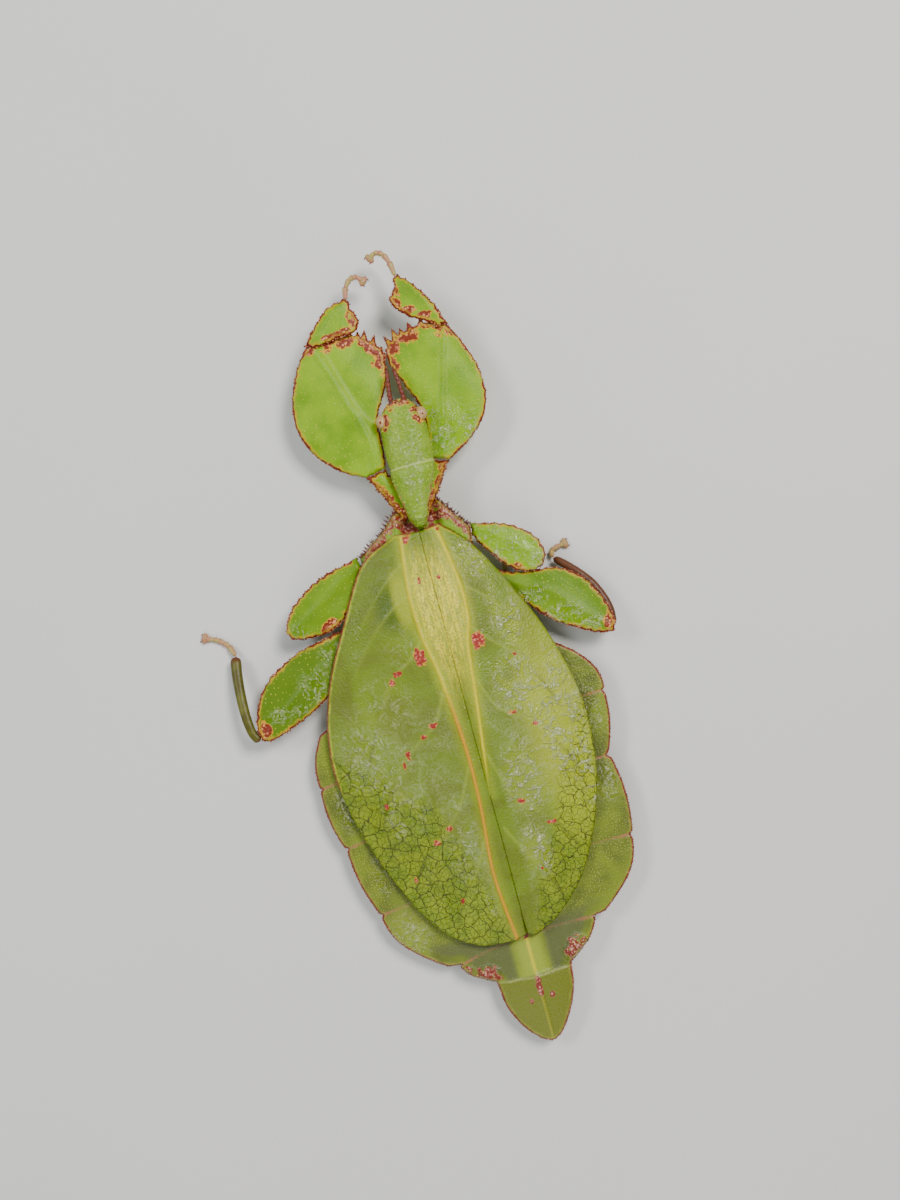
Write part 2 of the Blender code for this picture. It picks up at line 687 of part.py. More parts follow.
def head_point(out, s, rise):
    """A place on the head: out to a side, s forward from the neck, and a rise above its middle."""
    x = NECK[0] + out * math.cos(HEAD_TURN) - s * math.sin(HEAD_TURN)
    y = NECK[1] - s * math.cos(HEAD_TURN) - out * math.sin(HEAD_TURN)
    return (x, y, NECK[2] + rise)


def make_head(collection):
    rings = []
    for s, half_width, up, down in HEAD_RINGS:
        rings.append(ring(head_point(0, s, 0), half_width, up, down, turn=-HEAD_TURN, sides=20))
    return mesh_object("head", loft(rings), "body_green", collection)


def make_eye(side, head, collection, cutters):
    out, s, rise = EYE_PLACE
    name = f"eye_{SIDE_NAMES[side]}"
    eye = ellipsoid(head_point(side * out, s, rise), EYE_RADII, collection, name, "eye_cream")
    trim(eye, [head], cutters)
    return eye


def make_antenna(side, head, collection, cutters):
    """Short bead-like joints that narrow to the tip."""
    count = 2 * ANTENNA_SEGMENTS + 1
    start = Vector(head_point(side * ANTENNA_ROOT[0], *ANTENNA_ROOT[1:]))
    end = Vector(head_point(side * ANTENNA_TIP[0], *ANTENNA_TIP[1:]))
    path = [start.lerp(end, step / (count - 1)) for step in range(count)]
    radii = []
    for step in range(count):
        share = step / (count - 1)
        radii.append(ANTENNA_ROOT_RADIUS - ANTENNA_TAPER * share + ANTENNA_BEAD * (step % 2))
    name = f"antenna_{SIDE_NAMES[side]}"
    antenna = tube(path, radii, collection, name, "antenna_brown", resolution=1)
    trim(antenna, [head], cutters)
    return antenna


def make_mouthparts(head, collection, cutters):
    """Upper lip, jaws and four palps, hanging below the front of the head."""
    centre = head_point(0, *MOUTH_PLACE)
    mouth = ellipsoid(centre, MOUTH_RADII, collection, "mouthparts", "body_green", segments=12)
    palps = []
    for side in (LEFT, RIGHT):
        for out, s, reach in PALPS:
            root = head_point(side * (out - 0.4), s - 0.4, PALP_HEIGHTS[0])
            tip = head_point(side * out, s + reach, PALP_HEIGHTS[1])
            palps.append(spike(root, tip, PALP_RADIUS, collection, "body_green", sides=6))
    fuse(mouth, palps)
    trim(mouth, [head], cutters)
    return mouth


def make_prothorax(collection):
    rings = []
    for row, (x, y, half_width, up, down) in enumerate(PROTHORAX_RINGS):
        turn = -HEAD_TURN * (1 - row / (len(PROTHORAX_RINGS) - 1))
        z = PROTHORAX_FRONT_Z - PROTHORAX_ROW_DROP * row
        rings.append(ring((x, y, z), half_width, up, down, turn=turn))
    return mesh_object("prothorax", loft(rings), "body_green", collection)


def tegmen_half_width(side):
    edge = smooth_path(TEGMEN_EDGE[side], 60)
    return lambda y: float(np.interp(y, edge[:, 1], edge[:, 0]))


def tegmen_z(out, y, half_width):
    """Height of the domed middle surface of the wing covers."""
    share = min(abs(out) / half_width, 1.0)
    return tegmen_rim_z(y) + tegmen_crown(y) * (1 - share ** 2)


def make_mesothorax(collection):
    """A flat body with two spiny shoulders in front; its back follows the wing covers."""
    front = smooth_path(SHOULDER_EDGE, 25)
    half_widths = {side: tegmen_half_width(side) for side in (LEFT, RIGHT)}
    shares = (0.0, 0.12, 0.3, 0.6, 1.0)
    top, bottom = [], []
    for share in shares:
        upper, lower = [], []
        for column, (x, y) in enumerate(front):
            place = column / (len(front) - 1)
            rear_x = MESOTHORAX_REAR_WIDTHS[0] * (1 - place) - MESOTHORAX_REAR_WIDTHS[1] * place
            here_x = x + (rear_x - x) * share
            here_y = y + (MESOTHORAX_REAR - y) * share
            side = LEFT if here_x >= 0 else RIGHT
            reach = min(abs(here_x) / SHOULDER_REACH, 1.0)
            cover = tegmen_z(here_x, here_y, max(half_widths[side](here_y), MESOTHORAX_REAR))
            roof = min(cover, SHOULDER_BACK[0] - SHOULDER_BACK[1] * reach ** 2)
            floor = SHOULDER_BELLY[0] + SHOULDER_BELLY[1] * reach ** 1.5
            if share == 0.0:
                roof -= SHOULDER_FRONT_DROP
                floor += NOTCH_BELLY_RISE * (1 - reach)
            upper.append((here_x, here_y, max(roof, floor + RIM)))
            lower.append((here_x, here_y, floor))
        top.append(upper)
        bottom.append(lower)
    body = mesh_object("mesothorax", slab(top, bottom), "body_green", collection)
    spines = []
    for path in (front[1:9], front[16:24]):
        for step in range(SHOULDER_SPINES):
            at = (len(path) - 2) * (step + 0.5) / SHOULDER_SPINES
            first = int(at)
            base = path[first] + (path[first + 1] - path[first]) * (at - first)
            along = path[first + 1] - path[first]
            outward = Vector((-along[1], along[0], 0)).normalized()
            if outward.y > 0:
                outward = -outward
            root = Vector((base[0], base[1], SPINE_Z)) - outward * SPINE_SUNK
            tip = Vector((base[0], base[1], SPINE_Z + SPINE_LIFT)) + outward * SPINE_LENGTH
            spines.append(spike(root, tip, SPINE_ROOT, collection, "claw_brown"))
    fuse(body, spines)
    return body


def make_metathorax(collection):
    steps = (-1.0, -0.85, -0.6, -0.3, 0.0, 0.3, 0.6, 0.85, 1.0)
    top, bottom = [], []
    for y in np.linspace(MESOTHORAX_REAR + GAP, METATHORAX_REAR, 5):
        upper, lower = [], []
        for step in steps:
            x = METATHORAX_HALF_WIDTH * step
            upper.append((x, y, METATHORAX_BACK[0] - METATHORAX_BACK[1] * step ** 2))
            lower.append((x, y, METATHORAX_BELLY[0] + METATHORAX_BELLY[1] * abs(step) ** 3))
        top.append(upper)
        bottom.append(lower)
    return mesh_object("metathorax", slab(top, bottom), "body_green", collection)


def abdomen_rows():
    """Rows of (left rim, left y, right rim, right y, middle y), with a notch between lobes."""
    rows = list(ABDOMEN_FRONT)
    for lobe in LOBES:
        for t in (0.0, 0.05, 0.25, 0.5, 0.75, 0.95, 1.0):
            row = []
            for first, last, start, end, bulge in lobe:
                rim = start + (end - start) * t + bulge * math.sin(math.pi * t)
                if t in (0.0, 1.0):
                    rim -= NOTCH_DEPTH
                row += [rim, first + (last - first) * t]
            rows.append((*row, (row[1] + row[3]) / 2 - 0.4))
    left, right = LOBES[-1][0][3], LOBES[-1][1][3]
    rows[-1] = (left, ABDOMEN_REAR, right, ABDOMEN_REAR, ABDOMEN_REAR)
    return rows


def make_abdomen(collection):
    """A thick belly between thin lobed sheets, flat along the keel where it rests."""
    top, bottom = [], []
    for left_rim, left_y, right_rim, right_y, middle_y in abdomen_rows():
        core = min(core_half_width(middle_y), 0.85 * min(left_rim, right_rim))
        upper, lower = [], []
        for side, rim, rim_y in ((LEFT, left_rim, left_y), (RIGHT, right_rim, right_y)):
            sheet = rim - core
            outs = [
                rim,
                rim - min(0.9, 0.3 * sheet),
                core + 0.45 * sheet,
                core,
                0.8 * core,
                0.5 * core,
                min(BELLY_FLAT, 0.3 * core),
            ]
            if side == RIGHT:
                outs.reverse()
            for out in outs:
                y = middle_y + (rim_y - middle_y) * (out / rim) ** 1.5
                share = min(out / core, 1.0)
                sheet_z = LOBE_Z - LOBE_SLOPE * max(out - core, 0)
                roof = sheet_z + RIM / 2
                floor = sheet_z - RIM / 2
                if share < 1.0:
                    roof += (back_z(y) - roof) * (1 - share ** 2)
                    deep = 1.0 if out <= BELLY_FLAT else 1 - share ** 2.4
                    floor += (belly_z(y) - floor) * deep
                upper.append((side * out, y, roof))
                lower.append((side * out, y, floor))
        top.append(upper)
        bottom.append(lower)
    return mesh_object("abdomen", slab(top, bottom), "olive_green", collection)


def make_abdomen_tip(collection):
    """The pointed last shield, with a low ridge along its middle."""
    rows = 9
    lefts = smooth_path(TIP_LEFT, rows)
    rights = smooth_path(TIP_RIGHT, rows)
    top, bottom = [], []
    for row, ((left, left_y), (right, right_y)) in enumerate(zip(lefts, rights)):
        share = row / (rows - 1)
        upper, lower = [], []
        for step in (1.0, 0.7, 0.38, 0.12, -0.12, -0.38, -0.7, -1.0):
            out = left * step if step > 0 else right * step
            y = left_y if step > 0 else right_y
            swell = (1 - abs(step)) ** 1.2 * (1 - share ** 2)
            z = LOBE_Z - TIP_DROP * share
            upper.append((out, y, z + RIM / 2 + TIP_SWELL[0] * swell))
            lower.append((out, y, z - RIM / 2 - TIP_SWELL[1] * swell))
        top.append(upper)
        bottom.append(lower)
    return mesh_object("abdomen_tip", slab(top, bottom), "olive_green", collection)


def make_cercus(side, tip, collection, cutters):
    """A small flat blade under the last shield, pointing back."""
    top, bottom = lobed_grid(CERCUS_ROWS, side, CERCUS_Z, CERCUS_SHAFT, 0.0, 5)
    name = f"cercus_{SIDE_NAMES[side]}"
    cercus = mesh_object(name, slab(top, bottom), "olive_green", collection)
    trim(cercus, [tip], cutters)
    return cercus


def make_tegmen(side, collection):
    """A leaf-like wing cover, whose rows sweep outwards and back as its side veins do."""
    edge = TEGMEN_EDGE[side]
    half_width = tegmen_half_width(side)
    main_vein = profile(TEGMEN_MAIN_VEIN[side])
    seam = TEGMEN_SEAM[side]
    steps = {0.0, len(edge) - 1.0}
    for vein in SIDE_VEINS:
        steps |= {vein - 0.07, vein, vein + 0.07}
    marks = [0.0, *SIDE_VEINS, len(edge) - 1.0]
    for before, after in zip(marks, marks[1:]):
        steps |= {before + (after - before) * 0.36, before + (after - before) * 0.68}
    dense = smooth_path(edge, 9 * 20 + 1)
    inner = smooth_path([[y] for y in TEGMEN_INNER_Y], 9 * 20 + 1)[:, 0]
    index = np.linspace(0, len(edge) - 1, 9 * 20 + 1)
    top, bottom = [], []
    for step in sorted(steps):
        rim = np.array([np.interp(step, index, dense[:, 0]), np.interp(step, index, dense[:, 1])])
        start_y = np.interp(step, index, inner)
        vein_out = min(main_vein(start_y), seam + 0.6 * (rim[0] - seam))
        spread = 0.45 * (vein_out - seam) / 3.0 + 0.1
        outs = [seam, (seam + vein_out) / 2, vein_out - spread, vein_out, vein_out + spread]
        outer = vein_out + spread
        outs += [outer + (rim[0] - outer) * share for share in (0.2, 0.42, 0.64, 0.84, 1.0)]
        on_side_vein = any(abs(step - vein) < 0.01 for vein in SIDE_VEINS)
        upper, lower = [], []
        for column, out in enumerate(outs):
            u = (out - seam) / (rim[0] - seam)
            y = start_y + (rim[1] - start_y) * u ** 1.2
            z = tegmen_z(out, y, half_width(y) if u < 1 else out)
            ridge = 0.0
            if column < 3:
                ridge = PANEL_RISE * (1 - column / 3) * max(0.0, 1 - y / 32)
            if column == 3:
                ridge = MAIN_RIDGE
            if on_side_vein and 3 < column < 9:
                ridge = max(ridge, SIDE_RIDGE)
            upper.append((side * out, y, z + RIM / 2 + ridge))
            lower.append((side * out, y, z - RIM / 2))
        top.append(upper)
        bottom.append(lower)
    name = f"tegmen_{SIDE_NAMES[side]}"
    return mesh_object(name, slab(top, bottom), "tegmen_green", collection)


def front_rim(stations, side):
    """The rim of a fore femur from its knee along the toothed front to its inner edge."""
    outers = [station[0] for station in stations]
    inners = [station[1] for station in stations]
    rim = [outers[-1]] + [inners[row] for row in range(len(inners) - 1, len(inners) - 6, -1)]
    return smooth_path([(side * out, y) for out, y in rim], 41)


def make_fore_leg(side, head, trunk, collection, cutters):
    word = SIDE_NAMES[side]
    coxa = lobed_segment(
        f"fore_coxa_{word}", FORE_COXA[side], side, FORE_COXA_Z, *FORE_COXA_BUILD, collection
    )
    trim(coxa, [head, *trunk], cutters)
    femur = lobed_segment(
        f"fore_femur_{word}", FORE_FEMUR[side], side, FORE_FEMUR_Z, *FORE_FEMUR_BUILD, collection
    )
    trim(femur, [head], cutters)
    rim = front_rim(FORE_FEMUR[side], side)
    middle = np.mean([station[1] for station in FORE_FEMUR[side]], axis=0)
    inside = Vector((side * middle[0], middle[1], 0))
    teeth = []
    for share, length, radius in FEMUR_TEETH:
        at = int(share * (len(rim) - 1))
        along = rim[at + 1] - rim[at - 1]
        outward = Vector((-along[1], along[0], 0)).normalized()
        base = Vector((*rim[at], FORE_FEMUR_Z[2] - TOOTH_DROP))
        if outward.dot(base - inside) < 0:
            outward = -outward
        lean = (outward + Vector((0, -TOOTH_FORWARD, 0))).normalized()
        root, tip = base - lean * TOOTH_SUNK, base + lean * length
        teeth.append(spike(root, tip, radius, collection, "claw_brown"))
    fuse(femur, teeth)
    tibia = lobed_segment(
        f"fore_tibia_{word}", FORE_TIBIA[side], side, FORE_TIBIA_Z, *FORE_TIBIA_BUILD, collection
    )
    trim(tibia, [femur], cutters)
    foot = tarsus(f"fore_tarsus_{word}", FORE_TARSUS[side], side, False, collection)
    trim(foot, [tibia], cutters)


def make_walking_leg(side, rank, shapes, heights, trunk, collection, cutters):
    """A leg that stands on the floor: round coxa, leaf-like femur, round tibia and tarsus."""
    word = SIDE_NAMES[side]
    coxa_path, femur_rows, tibia_path, tarsus_path, tibia_radii = shapes
    coxa = round_segment(
        f"{rank}_coxa_{word}", coxa_path, side, COXA_RADII, 6, collection, "body_green"
    )
    femur = lobed_segment(
        f"{rank}_femur_{word}", femur_rows, side, heights, *WALKING_FEMUR_BUILD, collection
    )
    trim(femur, trunk, cutters)
    trim(coxa, trunk, cutters)
    tibia = round_segment(
        f"{rank}_tibia_{word}", tibia_path, side, tibia_radii, 11, collection, "olive_green"
    )
    trim(tibia, [femur], cutters)
    foot = tarsus(f"{rank}_tarsus_{word}", tarsus_path, side, True, collection)
    trim(foot, [tibia], cutters)


def centre_on_origin(collection):
    """Moves the whole animal so that its box stands on the origin."""
    corners = []
    for piece in collection.objects:
        corners += [vert.co.copy() for vert in piece.data.vertices]
    low = [min(corner[axis] for corner in corners) for axis in range(3)]
    high = [max(corner[axis] for corner in corners) for axis in range(3)]
    shift = Vector(((low[0] + high[0]) / 2, (low[1] + high[1]) / 2, low[2]))
    for piece in collection.objects:
        piece.data.transform(Matrix.Translation(-shift))


def main():
    clear_scene()
    insect = new_collection("leaf_insect")
    cutters = new_collection("cutters")
    head = make_head(insect)
    for side in (LEFT, RIGHT):
        make_eye(side, head, insect, cutters)
        make_antenna(side, head, insect, cutters)
    make_mouthparts(head, insect, cutters)
    prothorax = make_prothorax(insect)
    covers = [make_tegmen(side, insect) for side in (LEFT, RIGHT)]
    mesothorax = make_mesothorax(insect)
    trim(mesothorax, [prothorax, *covers], cutters)
    metathorax = make_metathorax(insect)
    make_abdomen(insect)
    tip = make_abdomen_tip(insect)
    trunk = [prothorax, mesothorax, metathorax]
    mid_heights, hind_heights = MID_FEMUR_Z, HIND_FEMUR_Z
    for side in (LEFT, RIGHT):
        make_cercus(side, tip, insect, cutters)
        make_fore_leg(side, head, trunk[:2], insect, cutters)
        mid = (MID_COXA[side], MID_FEMUR[side], MID_TIBIA[side], MID_TARSUS[side], TIBIA_RADII)
        hind = (HIND_COXA[side], HIND_FEMUR[side], HIND_TIBIA[side], HIND_TARSUS[side],
                HIND_TIBIA_RADII[side])
        make_walking_leg(side, "mid", mid, mid_heights, trunk[1:2], insect, cutters)
        make_walking_leg(side, "hind", hind, hind_heights, trunk[1:], insect, cutters)
    for cutter in list(cutters.objects):
        bpy.data.objects.remove(cutter, do_unlink=True)
    centre_on_origin(insect)


main()
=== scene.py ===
"""Dresses the leaf insect: leaf-like legs, veined wing covers, lobed abdomen and grained skin.

Lengths in the tables are in millimetres. A place on the plan is (out, y): out is the distance
from the body's midline towards the side that the part is on, and y runs back from the rear of
the pronotum. Points of a whole shape are (x, y) or (x, y, z) with x towards the animal's left.
"""

import math

import bpy
import numpy as np
from mathutils import Matrix, Vector, geometry, kdtree


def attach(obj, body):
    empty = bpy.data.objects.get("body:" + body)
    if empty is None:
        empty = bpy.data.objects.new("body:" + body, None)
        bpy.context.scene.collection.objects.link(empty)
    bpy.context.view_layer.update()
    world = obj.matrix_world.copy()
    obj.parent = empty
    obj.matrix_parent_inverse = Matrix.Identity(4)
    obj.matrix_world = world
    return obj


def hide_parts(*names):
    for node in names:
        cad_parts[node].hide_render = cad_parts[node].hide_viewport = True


bl_info = {
    "name": "Leaf insect",
    "version": (1, 0, 0),
    "blender": (4, 5, 0),
    "location": "View3D > Sidebar > Leaf insect",
    "description": "Builds a leaf insect piece by piece over its solid frame",
    "category": "Add Mesh",
}

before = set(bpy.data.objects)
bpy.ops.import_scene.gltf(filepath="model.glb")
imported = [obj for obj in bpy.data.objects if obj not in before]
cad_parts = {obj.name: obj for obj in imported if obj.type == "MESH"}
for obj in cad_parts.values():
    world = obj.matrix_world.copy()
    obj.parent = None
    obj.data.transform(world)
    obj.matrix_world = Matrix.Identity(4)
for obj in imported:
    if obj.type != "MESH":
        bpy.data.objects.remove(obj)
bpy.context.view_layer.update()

MM = 0.001
LEFT = 1
RIGHT = -1
SIDES = (LEFT, RIGHT)
WORDS = {LEFT: "left", RIGHT: "right"}
# Where the plan's own origin lies in the frame
PLAN_SHIFT = (-4.8884, -17.0403)
SEED = 7

# Thickness of a leaf-like sheet inside its solid, and how far in its rim is rounded
SHEET = 0.46
RIM_ROUND = 0.3
# Distance between an outline's points, and how close to the floor a skin may come
BODY_RIM_STEP = 0.13
LEG_RIM_STEP = 0.11
FLOOR_GAP = 0.01
FAR = 1e9

# Head, in its own frame: s runs forward from the neck
NECK = (-1.78, -9.0, 6.25)
HEAD_TURN = math.radians(2)
HEAD_RINGS = (
    # s, half width, height above the middle, depth below it
    (-0.25, 2.75, 1.45, 1.5),
    (0.15, 3.05, 1.7, 1.7),
    (1.6, 3.2, 2.0, 1.9),
    (3.8, 3.2, 2.13, 2.0),
    (5.6, 3.08, 2.08, 1.95),
    (6.9, 2.75, 1.88, 1.8),
    (7.9, 2.15, 1.5, 1.45),
    (8.6, 1.45, 1.05, 1.0),
    (8.95, 0.8, 0.6, 0.5),
)
EYE_PLACE = (2.75, 6.35, 0.6)
EYE_RADII = (0.78, 0.95, 0.8)
ANTENNA_ROOT = (0.95, 7.7, 0.5)
ANTENNA_TIP = (0.42, 13.2, 0.8)
PROTHORAX_RINGS = (
    # middle x, y, half width, up, down, z of the middle
    (-1.78, -8.95, 3.0, 1.6, 1.65, 6.25),
    (-1.72, -8.5, 3.1, 1.78, 1.7, 6.24),
    (-1.5, -7.2, 2.9, 1.93, 1.8, 6.12),
    (-1.2, -5.4, 2.35, 1.88, 1.8, 5.99),
    (-0.95, -3.4, 1.75, 1.68, 1.7, 5.86),
    (-0.8, -1.8, 1.35, 1.48, 1.6, 5.73),
    (-0.75, -0.7, 0.8, 1.0, 1.3, 5.45),
    (-0.73, -0.15, 0.4, 0.5, 0.7, 5.15),
)

SHOULDER_EDGE = (
    (8.5, 1.7), (7.3, 0.5), (4.9, -1.1), (2.9, -3.0), (1.7, -3.3), (0.3, -3.1), (-1.0, -3.0),
    (-2.3, -3.2), (-3.2, -3.7), (-4.0, -3.6), (-5.2, -1.9), (-6.5, 0.0), (-7.3, 1.0),
)
WAIST = {LEFT: ((7.8, 4.5), (7.6, 8.0), (7.8, 12.0), (7.9, 15.6)),
         RIGHT: ((7.0, 4.0), (6.9, 8.0), (7.7, 12.0), (7.8, 15.6))}
LOBES = (
    # for each side: first y, last y, rim at both, and the bulge between them
    ((23.5, 30.8, 20.3, 22.3, 0.7), (20.5, 27.5, 15.8, 19.5, 1.2)),
    ((31.1, 39.6, 22.3, 21.1, 0.5), (27.9, 36.3, 19.4, 17.7, 0.5)),
    ((40.0, 49.7, 20.9, 18.8, 0.5), (36.8, 47.7, 17.9, 18.1, 0.6)),
    ((50.1, 59.2, 18.7, 11.4, 1.8), (48.2, 57.4, 17.9, 11.4, 1.7)),
    ((59.5, 62.8, 9.9, 5.6, 0.9), (57.7, 62.8, 10.0, 5.2, 0.9)),
)
ABDOMEN_FRONT = {LEFT: ((8.0, 16.3), (13.5, 19.8), (18.2, 22.6)),
                 RIGHT: ((8.0, 16.3), (11.6, 18.0), (14.8, 19.8))}
TIP_EDGE = {LEFT: ((5.5, 63.3), (5.1, 66.6), (3.6, 69.8), (1.7, 72.0), (0.35, 72.75)),
            RIGHT: ((5.1, 63.3), (4.7, 66.0), (3.5, 69.0), (1.8, 71.6), (0.35, 72.75))}

TEGMEN_EDGE = {
    LEFT: (
        (3.2, -0.4), (8.5, 2.5), (13.2, 10.0), (17.6, 18.5), (19.6, 27.5),
        (18.6, 36.5), (15.6, 45.5), (11.4, 53.3), (6.5, 57.0), (1.6, 57.6),
    ),
    RIGHT: (
        (3.2, -0.4), (7.2, 4.0), (10.9, 11.0), (14.0, 18.5), (16.0, 27.5),
        (15.7, 36.0), (13.4, 44.3), (9.6, 51.4), (5.0, 55.8), (1.4, 57.6),
    ),
}
# How far out the dark net begins at y 27, 33, 37, 44, 50 and 57
NET_FROM = {LEFT: (19.0, 12.0, 7.0, 5.0, 3.2, 1.5), RIGHT: (16.0, 12.8, 10.2, 7.4, 3.6, 1.5)}
MAIN_VEIN = {
    LEFT: ((2.3, -0.4), (3.2, 8), (3.0, 14), (2.0, 20), (1.2, 30), (1.3, 38), (2.0, 48), (1.2, 57.5)),
    RIGHT: ((2.6, -0.4), (3.8, 8), (3.7, 13), (2.7, 17), (1.9, 24), (0.9, 32), (0.3, 37)),
}
SIDE_VEINS = {
    LEFT: (
        ((2.7, 3.5), (5.4, 5.4), (8.6, 8.3), (11.6, 12.0)),
        ((3.2, 8.0), (6.4, 9.8), (10.5, 13.4), (14.6, 18.6)),
        ((3.0, 14.3), (5.6, 16.8), (8.0, 18.3), (10.2, 21.2), (13.0, 26.2), (16.0, 32.0)),
        ((2.0, 21.6), (4.2, 25.6), (6.8, 27.6), (9.5, 29.5), (11.8, 32.3), (13.9, 35.6), (15.6, 40.6)),
        ((1.2, 32.0), (3.6, 36.8), (6.4, 40.2), (8.6, 41.9), (10.8, 43.9), (12.3, 46.2), (12.8, 49.4)),
        ((1.8, 42.5), (4.4, 47.2), (7.0, 50.4), (8.4, 53.4), (8.8, 55.0)),
    ),
    RIGHT: (
        ((3.0, 3.5), (5.2, 5.6), (7.6, 8.6), (9.6, 12.4)),
        ((3.8, 8.5), (6.2, 10.4), (9.4, 14.0), (12.2, 19.0)),
        ((3.6, 14.3), (6.0, 17.0), (8.5, 19.4), (11.0, 23.6), (13.3, 29.4)),
        ((2.3, 20.6), (4.0, 25.3), (5.8, 27.0), (8.7, 29.3), (11.0, 32.5), (13.0, 37.0), (13.6, 41.4)),
        ((1.1, 31.0), (3.4, 38.4), (5.6, 40.7), (7.5, 42.7), (9.6, 45.6), (10.6, 49.0)),
        ((1.0, 42.0), (2.9, 45.8), (4.5, 48.7), (6.0, 52.0), (6.4, 54.0)),
    ),
}
BLOTCHES = {
    # red patches on the wing covers: out, y, half length across and along
    LEFT: (
        (4.0, 16.6, 0.75, 1.2), (7.5, 18.1, 0.55, 0.4), (8.6, 19.0, 0.35, 0.5), (4.7, 26.0, 0.6, 0.35),
        (6.2, 27.2, 0.5, 0.25), (9.0, 29.1, 0.3, 0.6), (9.9, 30.3, 0.22, 0.5), (6.3, 40.2, 0.5, 0.4),
        (8.3, 41.6, 0.5, 0.35), (13.7, 35.2, 0.2, 0.5), (12.5, 46.0, 0.2, 0.35), (7.0, 50.3, 0.2, 0.4),
        (1.4, 6.6, 0.2, 0.45), (1.7, 0.3, 0.5, 1.0),
    ),
    RIGHT: (
        (4.1, 16.4, 0.9, 1.1), (8.6, 19.5, 0.3, 0.2), (6.0, 27.0, 0.65, 0.3), (8.8, 29.3, 0.35, 0.25),
        (4.2, 39.0, 0.5, 0.35), (7.5, 42.9, 0.6, 0.3), (4.5, 48.7, 0.25, 0.2), (1.3, 6.8, 0.25, 0.3),
        (2.7, -0.1, 0.5, 0.6),
    ),
}

TEGMEN_RIM_Z = ((-1, 5.3), (12, 5.0), (20, 4.5), (30, 4.25), (42, 4.2), (50, 4.3), (58, 4.7))
TEGMEN_CROWN = ((-1, 0.9), (10, 2.3), (25, 2.9), (40, 2.4), (50, 1.4), (58, 0.3))
BELLY_Z = ((16, 0.4), (19, 0.02), (35, 0.02), (50, 0.02), (57, 0.9), (63, 1.4))
BACK_Z = ((16, 5.9), (25, 6.2), (40, 5.5), (52, 4.3), (57, 3.8), (63, 3.6))
CORE_HALF_WIDTH = ((16, 7.2), (25, 7.6), (40, 7.0), (50, 5.2), (57, 2.9), (60, 2.2), (63, 2.0))
LOBE_Z = 3.2

# Lobed leg segments: rows of (front or outer rim point, rear or inner rim point, shaft share)
FORE_FEMUR = {
    LEFT: (
        ((4.8, -8.9), (1.8, -9.5), 0.48), ((7.5, -10.3), (1.5, -11.3), 0.71),
        ((9.7, -12.3), (1.35, -13.2), 0.78), ((11.4, -14.7), (1.3, -15.2), 0.79),
        ((12.2, -17.1), (0.9, -16.9), 0.74), ((12.3, -19.3), (-0.3, -18.9), 0.60),
        ((11.9, -21.5), (-1.5, -21.2), 0.49), ((11.2, -23.5), (-1.9, -23.3), 0.40),
        ((10.2, -25.5), (-1.9, -25.2), 0.29), ((9.1, -27.1), (-0.6, -26.9), 0.19),
        ((8.4, -28.0), (1.4, -28.1), 0.13), ((7.9, -28.6), (3.8, -28.7), 0.15),
    ),
    RIGHT: (
        ((6.9, -8.4), (4.2, -9.3), 0.48), ((9.4, -9.7), (4.6, -11.0), 0.58),
        ((11.6, -11.4), (4.9, -12.9), 0.69), ((13.1, -13.1), (5.0, -15.0), 0.69),
        ((14.0, -15.3), (4.7, -17.0), 0.65), ((14.2, -17.6), (3.9, -19.0), 0.55),
        ((14.0, -19.8), (3.1, -21.0), 0.45), ((13.4, -21.9), (2.4, -23.0), 0.34),
        ((12.7, -23.8), (2.4, -24.8), 0.24), ((12.0, -25.2), (3.3, -26.2), 0.16),
        ((11.6, -26.0), (5.6, -27.0), 0.13), ((11.2, -26.5), (8.3, -27.5), 0.20),
    ),
}
FORE_TIBIA = {
    LEFT: (
        ((8.2, -28.3), (6.8, -27.7), 0.5), ((7.3, -29.5), (5.2, -27.9), 0.4),
        ((6.3, -30.6), (3.4, -28.2), 0.25), ((5.3, -31.6), (1.4, -28.3), 0.2),
        ((4.3, -32.4), (0.3, -29.3), 0.2), ((3.1, -32.9), (0.2, -30.5), 0.25),
        ((2.0, -33.1), (0.8, -31.8), 0.35), ((1.5, -33.3), (0.8, -32.9), 0.5),
    ),
    RIGHT: (
        ((11.5, -26.2), (10.0, -26.2), 0.5), ((10.8, -28.3), (9.1, -27.0), 0.4),
        ((10.2, -29.7), (7.7, -27.8), 0.3), ((9.6, -30.9), (6.1, -28.9), 0.2),
        ((8.8, -32.1), (4.9, -30.3), 0.2), ((8.0, -33.2), (4.55, -31.6), 0.25),
        ((7.1, -34.1), (5.5, -32.9), 0.35), ((6.6, -34.7), (5.8, -34.3), 0.5),
    ),
}
FORE_COXA = {
    LEFT: (((1.3, -1.6), (-0.2, -2.6), 0.5), ((3.3, -5.7), (0.6, -6.0), 0.5),
           ((4.8, -8.85), (1.88, -9.4), 0.5)),
    RIGHT: (((2.6, -1.9), (1.4, -2.6), 0.5), ((4.8, -5.2), (2.6, -5.8), 0.5),
            ((6.9, -8.35), (4.18, -9.2), 0.5)),
}
